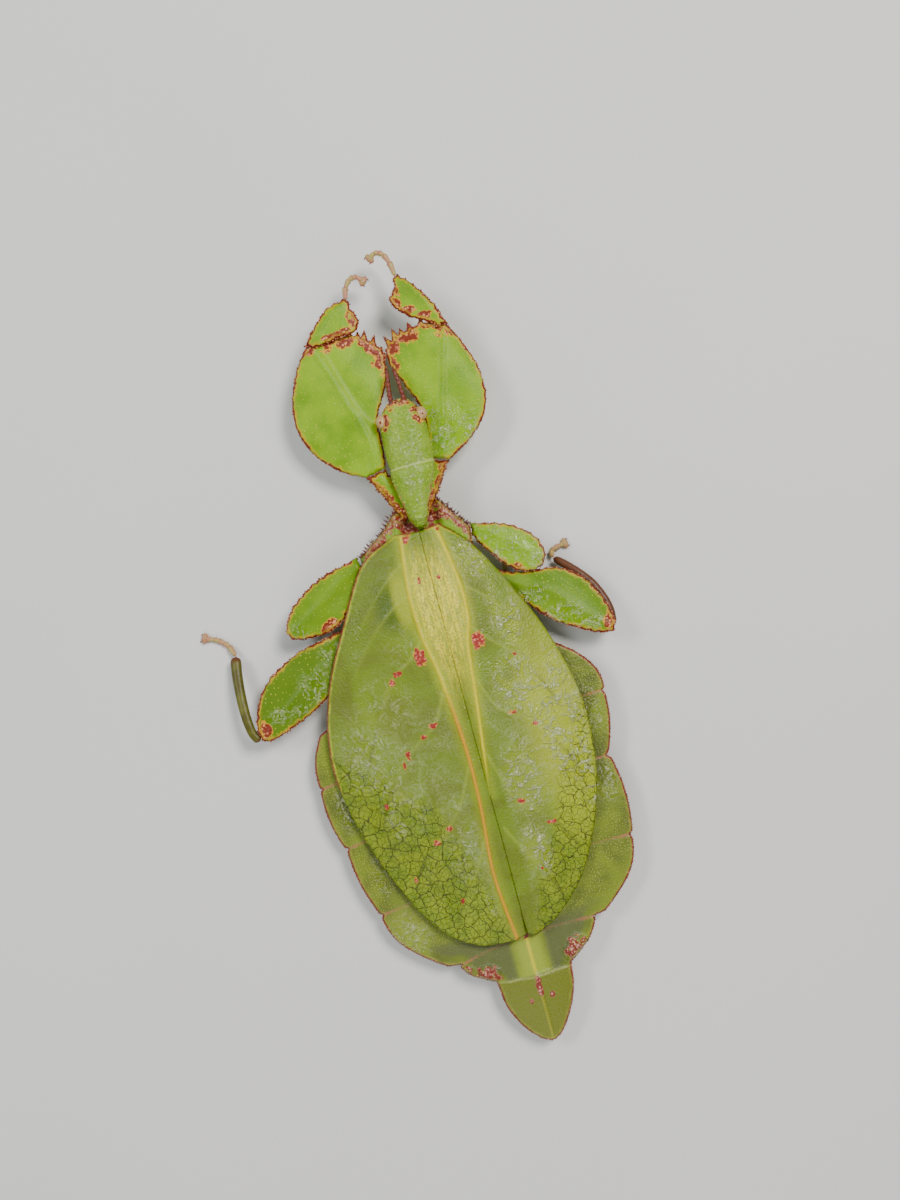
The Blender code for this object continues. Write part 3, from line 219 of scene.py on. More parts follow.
MID_FEMUR = {
    LEFT: (
        ((8.9, 1.2), (8.5, 2.9), 0.5), ((11.0, 1.7), (9.6, 5.2), 0.4), ((13.2, 2.2), (11.2, 7.4), 0.4),
        ((15.3, 3.0), (13.0, 9.2), 0.42), ((17.3, 4.1), (15.2, 10.2), 0.45),
        ((19.1, 5.5), (17.4, 10.4), 0.5), ((20.4, 7.1), (19.3, 10.2), 0.55),
        ((21.0, 8.6), (20.5, 9.8), 0.5),
    ),
    RIGHT: (
        ((7.4, 0.7), (7.1, 2.3), 0.5), ((9.2, 1.1), (8.0, 4.0), 0.4), ((11.0, 1.6), (9.2, 5.8), 0.4),
        ((12.8, 2.4), (10.6, 7.5), 0.42), ((14.4, 3.5), (12.2, 8.8), 0.45),
        ((15.6, 4.9), (13.9, 9.3), 0.5), ((16.2, 6.4), (15.2, 9.0), 0.55),
        ((16.4, 7.6), (16.0, 8.3), 0.5),
    ),
}
HIND_FEMUR = {
    LEFT: (
        ((9.6, 7.8), (9.0, 10.0), 0.5), ((12.2, 9.7), (10.6, 12.2), 0.5),
        ((15.0, 10.6), (12.6, 14.6), 0.5), ((17.8, 11.1), (15.0, 17.0), 0.5),
        ((20.5, 11.8), (17.6, 18.8), 0.55), ((23.0, 13.0), (20.2, 20.3), 0.6),
        ((25.3, 14.6), (22.8, 21.4), 0.65), ((27.1, 16.8), (25.2, 22.3), 0.7),
        ((28.1, 19.4), (26.8, 22.6), 0.7), ((28.3, 21.3), (27.7, 22.4), 0.5),
    ),
    RIGHT: (
        ((8.9, 7.6), (8.4, 9.6), 0.5), ((11.4, 8.7), (10.0, 11.0), 0.5),
        ((14.0, 9.1), (11.6, 13.0), 0.5), ((16.4, 9.4), (13.4, 15.0), 0.5),
        ((18.6, 10.2), (15.4, 16.9), 0.55), ((20.4, 11.7), (17.6, 18.4), 0.6),
        ((21.8, 14.0), (19.7, 19.5), 0.65), ((22.8, 16.4), (21.6, 20.1), 0.7),
        ((23.3, 18.6), (22.7, 20.1), 0.5),
    ),
}
# A low fold on the left fore femur, from the knee to the inner rim
FORE_FOLD = ((6.0, -26.9), (4.9, -23.0), (3.6, -18.6), (2.4, -16.3), (1.6, -15.7))
# Red patches on the fore tibiae: out, y, half length across and along
TIBIA_REDS = {
    LEFT: ((0.9, -30.4, 0.9, 1.6), (2.2, -28.8, 1.4, 0.5), (4.6, -28.6, 1.2, 0.4)),
    RIGHT: ((5.4, -31.6, 0.9, 1.6), (6.6, -29.4, 1.2, 0.6), (8.6, -28.2, 1.0, 0.5)),
}
FORE_COXA_Z = (4.5, 4.6, 4.7)
FORE_FEMUR_Z = (4.7, 5.1, 5.0)
FORE_TIBIA_Z = (5.6, 5.55, 5.1)
MID_FEMUR_Z = (3.9, 4.3, 4.3)
HIND_FEMUR_Z = (2.9, 3.9, 4.2)

MID_COXA = {
    LEFT: ((5.0, 3.2, 2.2), (6.5, 2.3, 3.2), (7.5, 2.0, 3.75), (8.5, 2.1, 3.9)),
    RIGHT: ((4.2, 2.7, 2.2), (5.4, 1.8, 3.2), (6.2, 1.5, 3.75), (7.1, 1.5, 3.9)),
}
HIND_COXA = {
    LEFT: ((5.0, 10.4, 1.9), (6.8, 9.2, 2.5), (8.0, 8.75, 2.8), (9.2, 8.8, 2.9)),
    RIGHT: ((4.6, 10.2, 1.9), (6.2, 9.0, 2.5), (7.4, 8.5, 2.8), (8.5, 8.5, 2.9)),
}
MID_TIBIA = {
    LEFT: ((20.4, 9.1, 3.05), (17.6, 8.4, 2.7), (15.0, 7.6, 1.9), (12.8, 6.9, 1.2)),
    RIGHT: ((15.8, 7.8, 3.05), (14.2, 7.4, 2.7), (12.4, 6.9, 1.9), (10.9, 6.5, 1.2)),
}
HIND_TIBIA = {
    LEFT: (
        (28.4, 22.2, 3.7), (29.1, 20.8, 3.7), (29.4, 18.5, 3.5), (29.45, 15.5, 2.9),
        (29.3, 12.5, 2.1), (29.0, 10.1, 1.4),
    ),
    RIGHT: (
        (23.0, 19.2, 3.05), (22.9, 16.5, 2.9), (21.6, 13.2, 2.5), (19.6, 10.5, 2.0),
        (17.4, 8.3, 1.4),
    ),
}
FORE_TARSUS = {
    LEFT: ((1.15, -33.1, 4.9), (0.85, -34.5, 4.9), (0.0, -35.7, 4.7), (-1.0, -35.9, 4.5),
           (-1.8, -35.2, 4.2)),
    RIGHT: ((6.2, -34.5, 4.9), (6.0, -36.2, 4.9), (5.4, -37.8, 4.7), (4.4, -38.4, 4.5),
            (3.5, -37.95, 4.2)),
}
MID_TARSUS = {
    LEFT: ((12.6, 6.9, 1.0), (12.5, 8.6, 0.42), (12.9, 10.0, 0.36), (13.4, 11.4, 0.36)),
    RIGHT: ((10.7, 6.6, 1.0), (10.6, 8.3, 0.42), (10.9, 9.7, 0.36), (11.3, 11.1, 0.36)),
}
HIND_TARSUS = {
    LEFT: ((28.95, 10.0, 1.2), (29.7, 8.4, 0.42), (31.0, 7.2, 0.36), (32.6, 6.5, 0.36)),
    RIGHT: ((17.3, 8.1, 1.2), (17.5, 7.3, 0.5), (18.4, 6.9, 0.36), (19.5, 6.7, 0.36)),
}

# Teeth of the fore femora: share of the front rim from the knee inwards, length, half width
FEMUR_TEETH = (
    (0.10, 0.35, 0.4), (0.24, 0.75, 0.45), (0.35, 0.95, 0.5), (0.45, 0.8, 0.45), (0.54, 1.3, 0.55),
    (0.66, 1.3, 0.55), (0.78, 0.45, 0.4), (0.88, 0.35, 0.4),
)


def smooth_path(points, count):
    """Points spaced along a Catmull-Rom curve through the given ones."""
    known = np.array(points, float)
    padded = np.vstack([2 * known[0] - known[1], known, 2 * known[-1] - known[-2]])
    spans = len(known) - 1
    steps = np.linspace(0, spans, count)
    first = np.minimum(steps.astype(int), spans - 1)
    t = (steps - first)[:, None]
    before, start, end, after = (padded[first + k] for k in range(4))
    bend = 2 * before - 5 * start + 4 * end - after
    twist = 3 * start - before - 3 * end + after
    return 0.5 * (2 * start + (end - before) * t + bend * t * t + twist * t ** 3)


def sided(points, side):
    """Points given as (out, ...) on the side that they are for."""
    return [(side * out, *rest) for out, *rest in points]


def profile(pairs):
    """A smooth value along the body, from (y, value) pairs."""
    count = 12 * len(pairs)
    values = smooth_path([[value] for _, value in pairs], count)[:, 0]
    steps = np.linspace(0, len(pairs) - 1, count)
    places = np.interp(steps, range(len(pairs)), [y for y, _ in pairs])
    return lambda y: np.interp(y, places, values)


tegmen_rim_z = profile(TEGMEN_RIM_Z)
tegmen_crown = profile(TEGMEN_CROWN)
belly_z = profile(BELLY_Z)
back_z = profile(BACK_Z)
core_half_width = profile(CORE_HALF_WIDTH)


def between(first, second, share):
    """A value that goes from first to second with the share."""
    return first + (second - first) * share


def soft(value, low, high):
    """0 below low, 1 above high and smooth between them; the other way round if low is higher."""
    t = np.clip((value - low) / (high - low), 0.0, 1.0)
    return t * t * (3 - 2 * t)


def lengths_along(line):
    """How far each point of a line is from its start, measured along it."""
    return np.concatenate([[0], np.cumsum(np.linalg.norm(np.diff(line, axis=0), axis=1))])


def spaced(points, step, closed=False):
    """The same line with its points a step apart."""
    line = np.asarray(points, float)
    if closed:
        line = np.vstack([line, line[:1]])
    lengths = lengths_along(line)
    count = max(int(lengths[-1] / step), 2)
    places = np.linspace(0, lengths[-1], count + 1)
    if closed:
        places = places[:-1]
    return np.stack([np.interp(places, lengths, line[:, k]) for k in range(line.shape[1])], axis=1)


def nearest(points, line):
    """How far each point is from a line, and the share of the line where it is nearest."""
    line = np.asarray(line, float)
    lengths = lengths_along(line)
    best = np.full(len(points), FAR)
    share = np.zeros(len(points))
    for k in range(len(line) - 1):
        span = line[k + 1] - line[k]
        t = np.clip((points - line[k]) @ span / max(span @ span, 1e-12), 0, 1)
        gap = np.linalg.norm(points - line[k] - t[:, None] * span, axis=1)
        closer = gap < best
        best[closer] = gap[closer]
        share[closer] = (lengths[k] + t[closer] * (lengths[k + 1] - lengths[k])) / lengths[-1]
    return best, share


def patches(points, ellipses, side):
    """Soft-edged mask that is 1 inside any of the ellipses."""
    mask = np.zeros(len(points))
    for out, y, across, along in ellipses:
        far = np.hypot((side * points[:, 0] - out) / across, (points[:, 1] - y) / along)
        mask = np.maximum(mask, soft(far, 1.5, 0.5))
    return mask


def outward(outline):
    """Unit normals that point out of a closed outline."""
    along = np.roll(outline, -1, 0) - np.roll(outline, 1, 0)
    turned = np.stack([along[:, 1], -along[:, 0]], axis=1)
    turned /= np.maximum(np.linalg.norm(turned, axis=1), 1e-9)[:, None]
    x, y = outline[:, 0], outline[:, 1]
    area = np.sum(x * np.roll(y, -1) - np.roll(x, -1) * y)
    return turned if area > 0 else -turned


def ragged(outline, depth, pitch, seed):
    """The outline with small uneven teeth along it, lower where it bends sharply."""
    random = np.random.default_rng(seed)
    count = len(outline)
    step = np.linalg.norm(outline - np.roll(outline, 1, 0), axis=1).mean()
    per_tooth = max(int(round(pitch / step)), 2)
    sizes = random.uniform(0.25, 1.0, count // per_tooth + 2)
    place = np.arange(count) / per_tooth
    rise = 1 - np.abs(2 * (place % 1) - 1)
    normals = outward(outline)
    steady = np.clip((np.roll(normals, 3, 0) * np.roll(normals, -3, 0)).sum(axis=1), 0, 1)
    shift = depth * (sizes[place.astype(int)] * rise - 0.5) * steady
    return outline + normals * shift[:, None]


def inside(points, outline):
    """Which of the points lie inside a closed outline."""
    within = np.zeros(len(points), bool)
    x, y = points[:, 0], points[:, 1]
    for start, end in zip(outline, np.roll(outline, -1, 0)):
        spans = (start[1] <= y) != (end[1] <= y)
        cut = start[0] + (y - start[1]) / (end[1] - start[1] or 1.0) * (end[0] - start[0])
        within ^= spans & (x < cut)
    return within


def fill(outline, step, coarse=None):
    """Points and triangles that fill an outline, whose own points come first, and each
    point's distance from it. Where coarse is true, only every third point is kept."""
    tree = kdtree.KDTree(len(outline))
    for index, point in enumerate(outline):
        tree.insert((*point, 0.0), index)
    tree.balance()
    ahead = np.roll(outline, -1, 0)
    inner, gaps = [], []
    for row, y in enumerate(np.arange(outline[:, 1].min(), outline[:, 1].max(), step * 0.866)):
        crossed = (outline[:, 1] <= y) != (ahead[:, 1] <= y)
        start, end = outline[crossed], ahead[crossed]
        cuts = np.sort(start[:, 0] + (y - start[:, 1]) / (end[:, 1] - start[:, 1]) * (end - start)[:, 0])
        shift = step / 2 * (row % 2)
        for low, high in zip(cuts[::2], cuts[1::2]):
            for column in range(math.ceil((low - shift) / step), math.floor((high - shift) / step) + 1):
                x = column * step + shift
                if coarse is not None and (row % 4 or column % 4) and coarse(x, y):
                    continue
                gap = tree.find((x, y, 0.0))[2]
                if gap > 0.55 * step:
                    inner.append((x, y))
                    gaps.append(gap)
    points = np.vstack([outline, np.array(inner)])
    loop = list(range(len(outline)))
    area = np.sum(outline[:, 0] * ahead[:, 1] - ahead[:, 0] * outline[:, 1]) / 2
    if area < 0:
        loop.reverse()
    made = geometry.delaunay_2d_cdt([Vector(point) for point in points], [], [loop], 1, 1e-9, False)
    found = np.array([tuple(point) for point in made[0]])
    triangles = np.array([face for face in made[2] if len(face) == 3])
    across = np.flatnonzero((triangles < len(outline)).all(axis=1))
    beyond = ~inside(found[triangles[across]].mean(axis=1), outline)
    triangles = np.delete(triangles, across[beyond], axis=0)
    if len(found) != len(points):
        raise ValueError("an outline crosses itself")
    edge = np.concatenate([np.zeros(len(outline)), gaps])
    a, b, c = (found[triangles[:, k]] for k in range(3))
    turn = (b - a)[:, 0] * (c - a)[:, 1] - (b - a)[:, 1] * (c - a)[:, 0]
    triangles[turn < 0] = triangles[turn < 0][:, ::-1]
    if abs(np.abs(turn).sum() / 2 - abs(area)) > 0.01 * abs(area):
        raise ValueError("the triangles don't fill the outline")
    return found, triangles, edge


def add_object(name, data):
    """A new object in the scene that holds a mesh, lamp or camera."""
    made = bpy.data.objects.new(name, data)
    bpy.context.scene.collection.objects.link(made)
    return made


def in_frame(points):
    """Places in the frame, in metres, from millimetres on the plan."""
    return (np.asarray(points, float) + (*PLAN_SHIFT, 0.0)) * MM


def add_mesh(name, points, faces, finish, marks=None):
    """A smooth mesh object from points in millimetres on the plan, with its named masks."""
    placed = in_frame(points)
    placed[:, 2] = np.maximum(placed[:, 2], FLOOR_GAP * MM)
    mesh = bpy.data.meshes.new(name)
    mesh.from_pydata(placed.tolist(), [], [list(map(int, face)) for face in faces])
    mesh.materials.append(finish)
    for key, values in (marks or {}).items():
        mask = mesh.attributes.new(key, "FLOAT", "POINT")
        mask.data.foreach_set("value", np.asarray(values, np.float32))
    mesh.shade_smooth()
    mesh.update()
    return add_object(name, mesh)


def dress(piece, slot, *nodes):
    """Sets a piece on the frame in place of its solids."""
    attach(piece, "root")
    if nodes:
        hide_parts(*nodes)
    return piece


def leaf_piece(name, outline, step, shape, finish, coarse=None):
    """A closed sheet over an outline. shape gives its upper and lower height and its masks."""
    points, triangles, edge = fill(outline, step, coarse)
    top, bottom, marks = shape(points, edge)
    rounding = np.sqrt(1 - (1 - np.clip(edge / RIM_ROUND, 0, 1)) ** 2)
    middle = (top + bottom) / 2
    top = middle + (top - middle) * rounding
    bottom = middle + (bottom - middle) * rounding
    rim_count = len(outline)
    upper = np.column_stack([points, top])
    lower = np.column_stack([points, bottom])[rim_count:]
    under = np.where(triangles < rim_count, triangles, triangles + len(points) - rim_count)
    faces = np.vstack([triangles, under[:, ::-1]])
    marks["rim"] = edge + marks.pop("rim_plain", 0.0)
    both = {mark: np.concatenate([values, values[rim_count:]]) for mark, values in marks.items()}
    return add_mesh(name, np.vstack([upper, lower]), faces, finish, both)


def rounded_piece(name, rings, finish, marks=None):
    """A closed round shape through rings of points, with a pole at each end."""
    rings = np.asarray(rings, float)
    count, sides = rings.shape[:2]
    points = np.vstack([rings.reshape(-1, 3), rings[0].mean(0), rings[-1].mean(0)])
    faces = []
    for i in range(count - 1):
        for k in range(sides):
            m = (k + 1) % sides
            faces.append((i * sides + k, i * sides + m, (i + 1) * sides + m, (i + 1) * sides + k))
    first, last = count * sides, count * sides + 1
    for k in range(sides):
        m = (k + 1) % sides
        faces.append((first, m, k))
        faces.append((last, (count - 1) * sides + k, (count - 1) * sides + m))
    spread = {}
    for mark, values in (marks or {}).items():
        values = np.asarray(values, float)
        spread[mark] = np.concatenate([values.reshape(-1), values[0].mean(keepdims=True),
                                       values[-1].mean(keepdims=True)])
    volume = 0.0
    for face in faces:
        a, b, c = points[face[0]], points[face[1]], points[face[2]]
        volume += np.dot(a, np.cross(b, c))
    if volume < 0:
        faces = [face[::-1] for face in faces]
    return add_mesh(name, points, faces, finish, spread)


def path_rings(path, wide, high, sides=20):
    """Oval rings square to a path, as wide and as high as the two lists say."""
    path = np.asarray(path, float)
    ahead = np.gradient(path, axis=0)
    ahead /= np.linalg.norm(ahead, axis=1)[:, None]
    across = np.cross(ahead, (0.0, 0.0, 1.0))
    across /= np.linalg.norm(across, axis=1)[:, None]
    up = np.cross(across, ahead)
    angles = np.linspace(0, 2 * math.pi, sides, endpoint=False)
    circle = across[:, None, :] * (np.cos(angles)[None, :, None] * np.asarray(wide)[:, None, None])
    circle = circle + up[:, None, :] * (np.sin(angles)[None, :, None] * np.asarray(high)[:, None, None])
    return path[:, None, :] + circle


def add_node(tree, kind, inputs=None, **settings):
    """One shader or geometry node; an input that is a socket is linked, else it is set."""
    made = tree.nodes.new(kind)
    for key, value in settings.items():
        setattr(made, key, value)
    for key, value in (inputs or {}).items():
        socket = made.inputs[key]
        if isinstance(value, bpy.types.NodeSocket):
            tree.links.new(value, socket)
        else:
            # colours are kept as red, green and blue alone
            socket.default_value = (*value, 1.0) if socket.type == "RGBA" else value
    return made


def blend(tree, share, first, second):
    """A colour that goes from first to second with the share."""
    made = add_node(tree, "ShaderNodeMix", {0: share, 6: first, 7: second}, data_type="RGBA")
    return made.outputs[2]


def compute(tree, operation, first, second=0.0):
    return add_node(tree, "ShaderNodeMath", {0: first, 1: second}, operation=operation).outputs[0]


def times(tree, first, second):
    return compute(tree, "MULTIPLY", first, second)


def total(tree, *parts):
    """The sum of the parts; a pair is multiplied first."""
    value = None
    for part in parts:
        part = times(tree, *part) if isinstance(part, tuple) else part
        value = part if value is None else compute(tree, "ADD", value, part)
    return value


def ramp(tree, value, low, high, start=0.0, end=1.0):
    """A smooth step from start to end as the value goes from low to high."""
    made = add_node(
        tree, "ShaderNodeMapRange",
        {0: value, 1: low, 2: high, 3: start, 4: end}, interpolation_type="SMOOTHSTEP",
    )
    return made.outputs[0]


def mark(tree, name):
    """The value of a mask that the mesh carries."""
    return add_node(tree, "ShaderNodeAttribute", attribute_name=name).outputs["Fac"]


def layer(tree, base, share, tint, amount=1.0):
    """The base colour with a tint over it, where a mask or a share is high."""
    share = mark(tree, share) if isinstance(share, str) else share
    return blend(tree, share if amount == 1.0 else times(tree, share, amount), base, tint)


def place(tree):
    """The place on the piece, in the piece's own metres."""
    return add_node(tree, "ShaderNodeTexCoord").outputs["Object"]


def inverse(tree, size):
    """One divided by a size that is a number or a socket."""
    return compute(tree, "DIVIDE", 1.0, size) if isinstance(size, bpy.types.NodeSocket) else 1.0 / size


def noise(tree, size, detail=2.0, distortion=0.0, where=None, roughness=0.55):
    """Noise whose features are about that size in metres."""
    made = add_node(
        tree, "ShaderNodeTexNoise",
        {"Vector": where or place(tree), "Scale": inverse(tree, size), "Detail": detail,
         "Distortion": distortion, "Roughness": roughness},
    )
    return made.outputs[0]


def cells(tree, size, where=None, inputs=None, **settings):
    """Distance within random cells of about that size in metres."""
    made = add_node(
        tree, "ShaderNodeTexVoronoi",
        {"Vector": where or place(tree), "Scale": inverse(tree, size), **(inputs or {})}, **settings,
    )
    return made.outputs["Distance"]


def new_group(name, inputs, outputs):
    """An empty shader node group with named sockets, and its two ends."""
    group = bpy.data.node_groups.new(name, "ShaderNodeTree")
    for label, value in inputs.items():
        kind = "NodeSocketColor" if isinstance(value, tuple) else "NodeSocketFloat"
        socket = group.interface.new_socket(label, in_out="INPUT", socket_type=kind)
        socket.default_value = (*value, 1.0) if isinstance(value, tuple) else value
    for label in outputs:
        kind = "NodeSocketColor" if label == "Colour" else "NodeSocketFloat"
        group.interface.new_socket(label, in_out="OUTPUT", socket_type=kind)
    return group, group.nodes.new("NodeGroupInput").outputs, group.nodes.new("NodeGroupOutput").inputs


def make_rim_group():
    """Colours a rim: a pale band inside and a ragged dark edge with pale grains."""
    group, given, out = new_group(
        "rim_colours",
        {"Colour": (0.3, 0.4, 0.03), "Rim": 1.0, "Band Width": 0.6, "Edge Width": 0.3,
         "Raggedness": 0.3, "Band": (0.6, 0.5, 0.08), "Edge": (0.3, 0.06, 0.03),
         "Grain": (0.6, 0.25, 0.18), "Grain Size": 0.0003},
        ("Colour",),
    )
    wobble = total(group, noise(group, 0.0005, 3.0), noise(group, 0.0024), -1.0)
    moved = total(group, given["Rim"], (wobble, given["Raggedness"]))
    band = ramp(group, compute(group, "DIVIDE", moved, given["Band Width"]), 1.3, 0.6)
    band = times(group, band, ramp(group, noise(group, 0.0011), 0.35, 0.65, 0.25, 0.85))
    edge = ramp(group, compute(group, "DIVIDE", moved, given["Edge Width"]), 1.12, 0.88)
    grains = ramp(group, cells(group, given["Grain Size"]), 0.42, 0.22)
    grains = times(group, grains, ramp(group, noise(group, 0.0016), 0.42, 0.62))
    grained = blend(group, grains, given["Edge"], given["Grain"])
    banded = blend(group, band, given["Colour"], given["Band"])
    group.links.new(blend(group, edge, banded, grained), out["Colour"])


def make_blotch_group():
    """Crooked red patches with pink grains and orange margins, where the zone is high."""
    group, given, out = new_group(
        "red_patches",
        {"Colour": (0.3, 0.4, 0.03), "Zone": 0.0, "Patch Size": 0.0017, "Red": (0.3, 0.03, 0.01),
         "Grain": (0.7, 0.3, 0.2), "Margin": (0.7, 0.35, 0.03)},
        ("Colour", "Mask"),
    )
    distance = cells(group, given["Patch Size"], inputs={"Randomness": 0.9}, voronoi_dimensions="2D")
    wobble = total(group, noise(group, 0.0006, 3.0, 0.6), -0.5)
    field = total(group, distance, (wobble, 1.1))
    amount = compute(group, "SUBTRACT", times(group, given["Zone"], 0.78), field)
    present = ramp(group, given["Zone"], 0.08, 0.25)
    margin = times(group, ramp(group, amount, -0.17, -0.06), present)
    red = times(group, ramp(group, amount, -0.02, 0.07), present)
    grains = times(group, ramp(group, cells(group, 0.0004), 0.5, 0.3),
                   ramp(group, noise(group, 0.0009), 0.36, 0.55, 0.2, 1.0))
    patch = blend(group, grains, given["Red"], given["Grain"])
    lined = layer(group, given["Colour"], margin, given["Margin"], 0.85)
    group.links.new(blend(group, red, lined, patch), out["Colour"])
    group.links.new(red, out["Mask"])


def make_dot_group():
    """Small round raised dots scattered over the plan."""
    group, given, out = new_group("pale_dots", {"Spacing": 0.0012, "Dot Size": 0.12}, ("Mask",))
    distance = cells(group, given["Spacing"], inputs={"Randomness": 0.75}, voronoi_dimensions="2D")
    size = times(group, given["Dot Size"], ramp(group, noise(group, 0.0031), 0.3, 0.7, 0.7, 1.25))
    group.links.new(ramp(group, compute(group, "DIVIDE", distance, size), 1.25, 0.6), out["Mask"])


def make_net_group():
    """The small veins between the side veins: crooked cells with finer ones inside."""
    group, given, out = new_group(
        "net_veins", {"Cell": 0.0016, "Line": 0.06, "Wobble": 0.0005}, ("Line", "Fine Line"))
    wave = add_node(group, "ShaderNodeTexNoise", {"Vector": place(group), "Scale": 900.0, "Detail": 3.0})
    shift = add_node(
        group, "ShaderNodeVectorMath", {0: wave.outputs["Color"], 3: given["Wobble"]}, operation="SCALE")
    bent = add_node(group, "ShaderNodeVectorMath", {0: place(group), 1: shift.outputs[0]}).outputs[0]
    for label, share, width in (("Line", 1.0, 1.0), ("Fine Line", 0.42, 1.25)):
        distance = cells(group, times(group, given["Cell"], share), bent, {"Randomness": 0.9},
                         voronoi_dimensions="2D", feature="DISTANCE_TO_EDGE")
        ratio = compute(group, "DIVIDE", distance, times(group, given["Line"], width))
        group.links.new(ramp(group, ratio, 1.3, 0.3), out[label])


def make_film_group():
    """Height of a wet wrinkled film: short broken crests over a fine shagreen. The finishes paint pale glints
    on these crests.
    """
    group, given, out = new_group("wet_film", {"Crest Size": 0.001, "Fine Size": 0.0003}, ("Height", "Fine"))
    crest_highlight = noise(group, given["Crest Size"], 3.0, 0.6)
    folded = compute(group, "ABSOLUTE", total(group, crest_highlight, -0.5))
    patchy = ramp(group, noise(group, 0.0019), 0.36, 0.6, 0.15, 1.0)
    broken = ramp(group, noise(group, 0.00042), 0.4, 0.58, 0.25, 1.0)
    glint_crests = times(group, ramp(group, folded, 0.08, 0.0), times(group, patchy, broken))
    group.links.new(glint_crests, out["Height"])
    fine = cells(group, given["Fine Size"], inputs={"Smoothness": 0.6}, feature="SMOOTH_F1")
    group.links.new(fine, out["Fine"])


def use_group(tree, name, inputs):
    """The outputs of a shader group put into a tree."""
    return add_node(tree, "ShaderNodeGroup", inputs, node_tree=bpy.data.node_groups[name]).outputs


def patched(tree, base, zone, size, red, grain, margin):
    """The base colour with red patches over it where the mask is high, and the patches' mask."""
    made = use_group(tree, "red_patches", {"Colour": base, "Zone": mark(tree, zone), "Patch Size": size,
                                           "Red": red, "Grain": grain, "Margin": margin})
    return made["Colour"], made["Mask"]


def rimmed(tree, base, widths, band, edge, grain, size):
    """The base colour with a banded rim; widths are the band's, the edge's and its raggedness."""
    made = use_group(
        tree, "rim_colours",
        {"Colour": base, "Rim": mark(tree, "rim"), "Band Width": widths[0], "Edge Width": widths[1],
         "Raggedness": widths[2], "Band": band, "Edge": edge, "Grain": grain, "Grain Size": size},
    )
    return made["Colour"]


def film_of(tree, crest_size, fine_size):
    made = use_group(tree, "wet_film", {"Crest Size": crest_size, "Fine Size": fine_size})
    return made["Height"], made["Fine"]


def dots_of(tree, spacing, size):
    return use_group(tree, "pale_dots", {"Spacing": spacing, "Dot Size": size})["Mask"]


def new_finish(name, roughness, shine=0.5):
    """A material's node tree and shader, with the values that are the same all over it."""
    made = bpy.data.materials.new(name)
    made.use_nodes = True
    shader = made.node_tree.nodes["Principled BSDF"]
    shader.inputs["Roughness"].default_value = roughness
    shader.inputs["Specular IOR Level"].default_value = shine
    return made.node_tree, shader


def finish_shader(tree, shader, base, relief=None, roughness=None):
    """Links the colour and, where given, a bump (height, strength, distance) and the roughness."""
    tree.links.new(base, shader.inputs["Base Color"])
    if relief is not None:
        height, strength, distance = relief
        made = add_node(
            tree, "ShaderNodeBump", {"Height": height, "Strength": strength, "Distance": distance})
        tree.links.new(made.outputs[0], shader.inputs["Normal"])
    if roughness is not None:
        tree.links.new(roughness, shader.inputs["Roughness"])


def make_leg_finish(paint):
    """Fresh green leaf skin of the legs: pale dots, a shaft line with a painted highlight along its crest,
    yellow and brick-red rims, and painted glints on the wet crests.
    """
    tree, shader = new_finish("leg_leaf", roughness=0.42, shine=0.22)
    tone = ramp(tree, noise(tree, 0.005, 3.0), 0.35, 0.7)
    base = blend(tree, tone, paint.leg_green, paint.leg_deep_green)
    base = layer(tree, base, "deep", paint.leg_shade_green)
    base = layer(tree, base, "shaft", paint.leg_shaft_green, 0.3)
    # painted highlight: a pale line along the shaft's crest and along the fold
    base = layer(tree, base, "crest_highlight", paint.dot_and_highlight_yellow, 0.22)
    dots = dots_of(tree, 0.00088, 0.11)
    base = layer(tree, base, dots, paint.dot_and_highlight_yellow, 0.6)
    base, red = patched(tree, base, "front", 0.0018, paint.rim_red, paint.rim_pink, paint.margin_orange)
    base = rimmed(tree, base, (0.5, 0.2, 0.6), paint.band_yellow, paint.rim_red, paint.rim_pink, 0.00045)
    glint_crests, fine = film_of(tree, 0.001, 0.00026)
    wet_glint = mark(tree, "wet_glint")
    # painted glints: pale colour on the crests of the wet zones stands in for highlights
    base = layer(tree, base, times(tree, glint_crests, wet_glint), paint.glint_pale, 0.75)
    height = total(tree, (glint_crests, times(tree, wet_glint, 1.6)), (fine, 0.3), (dots, 0.5), (red, 0.5))
    finish_shader(tree, shader, base, (height, 0.8, 0.00014), ramp(tree, wet_glint, 0.0, 0.7, 0.42, 0.2))


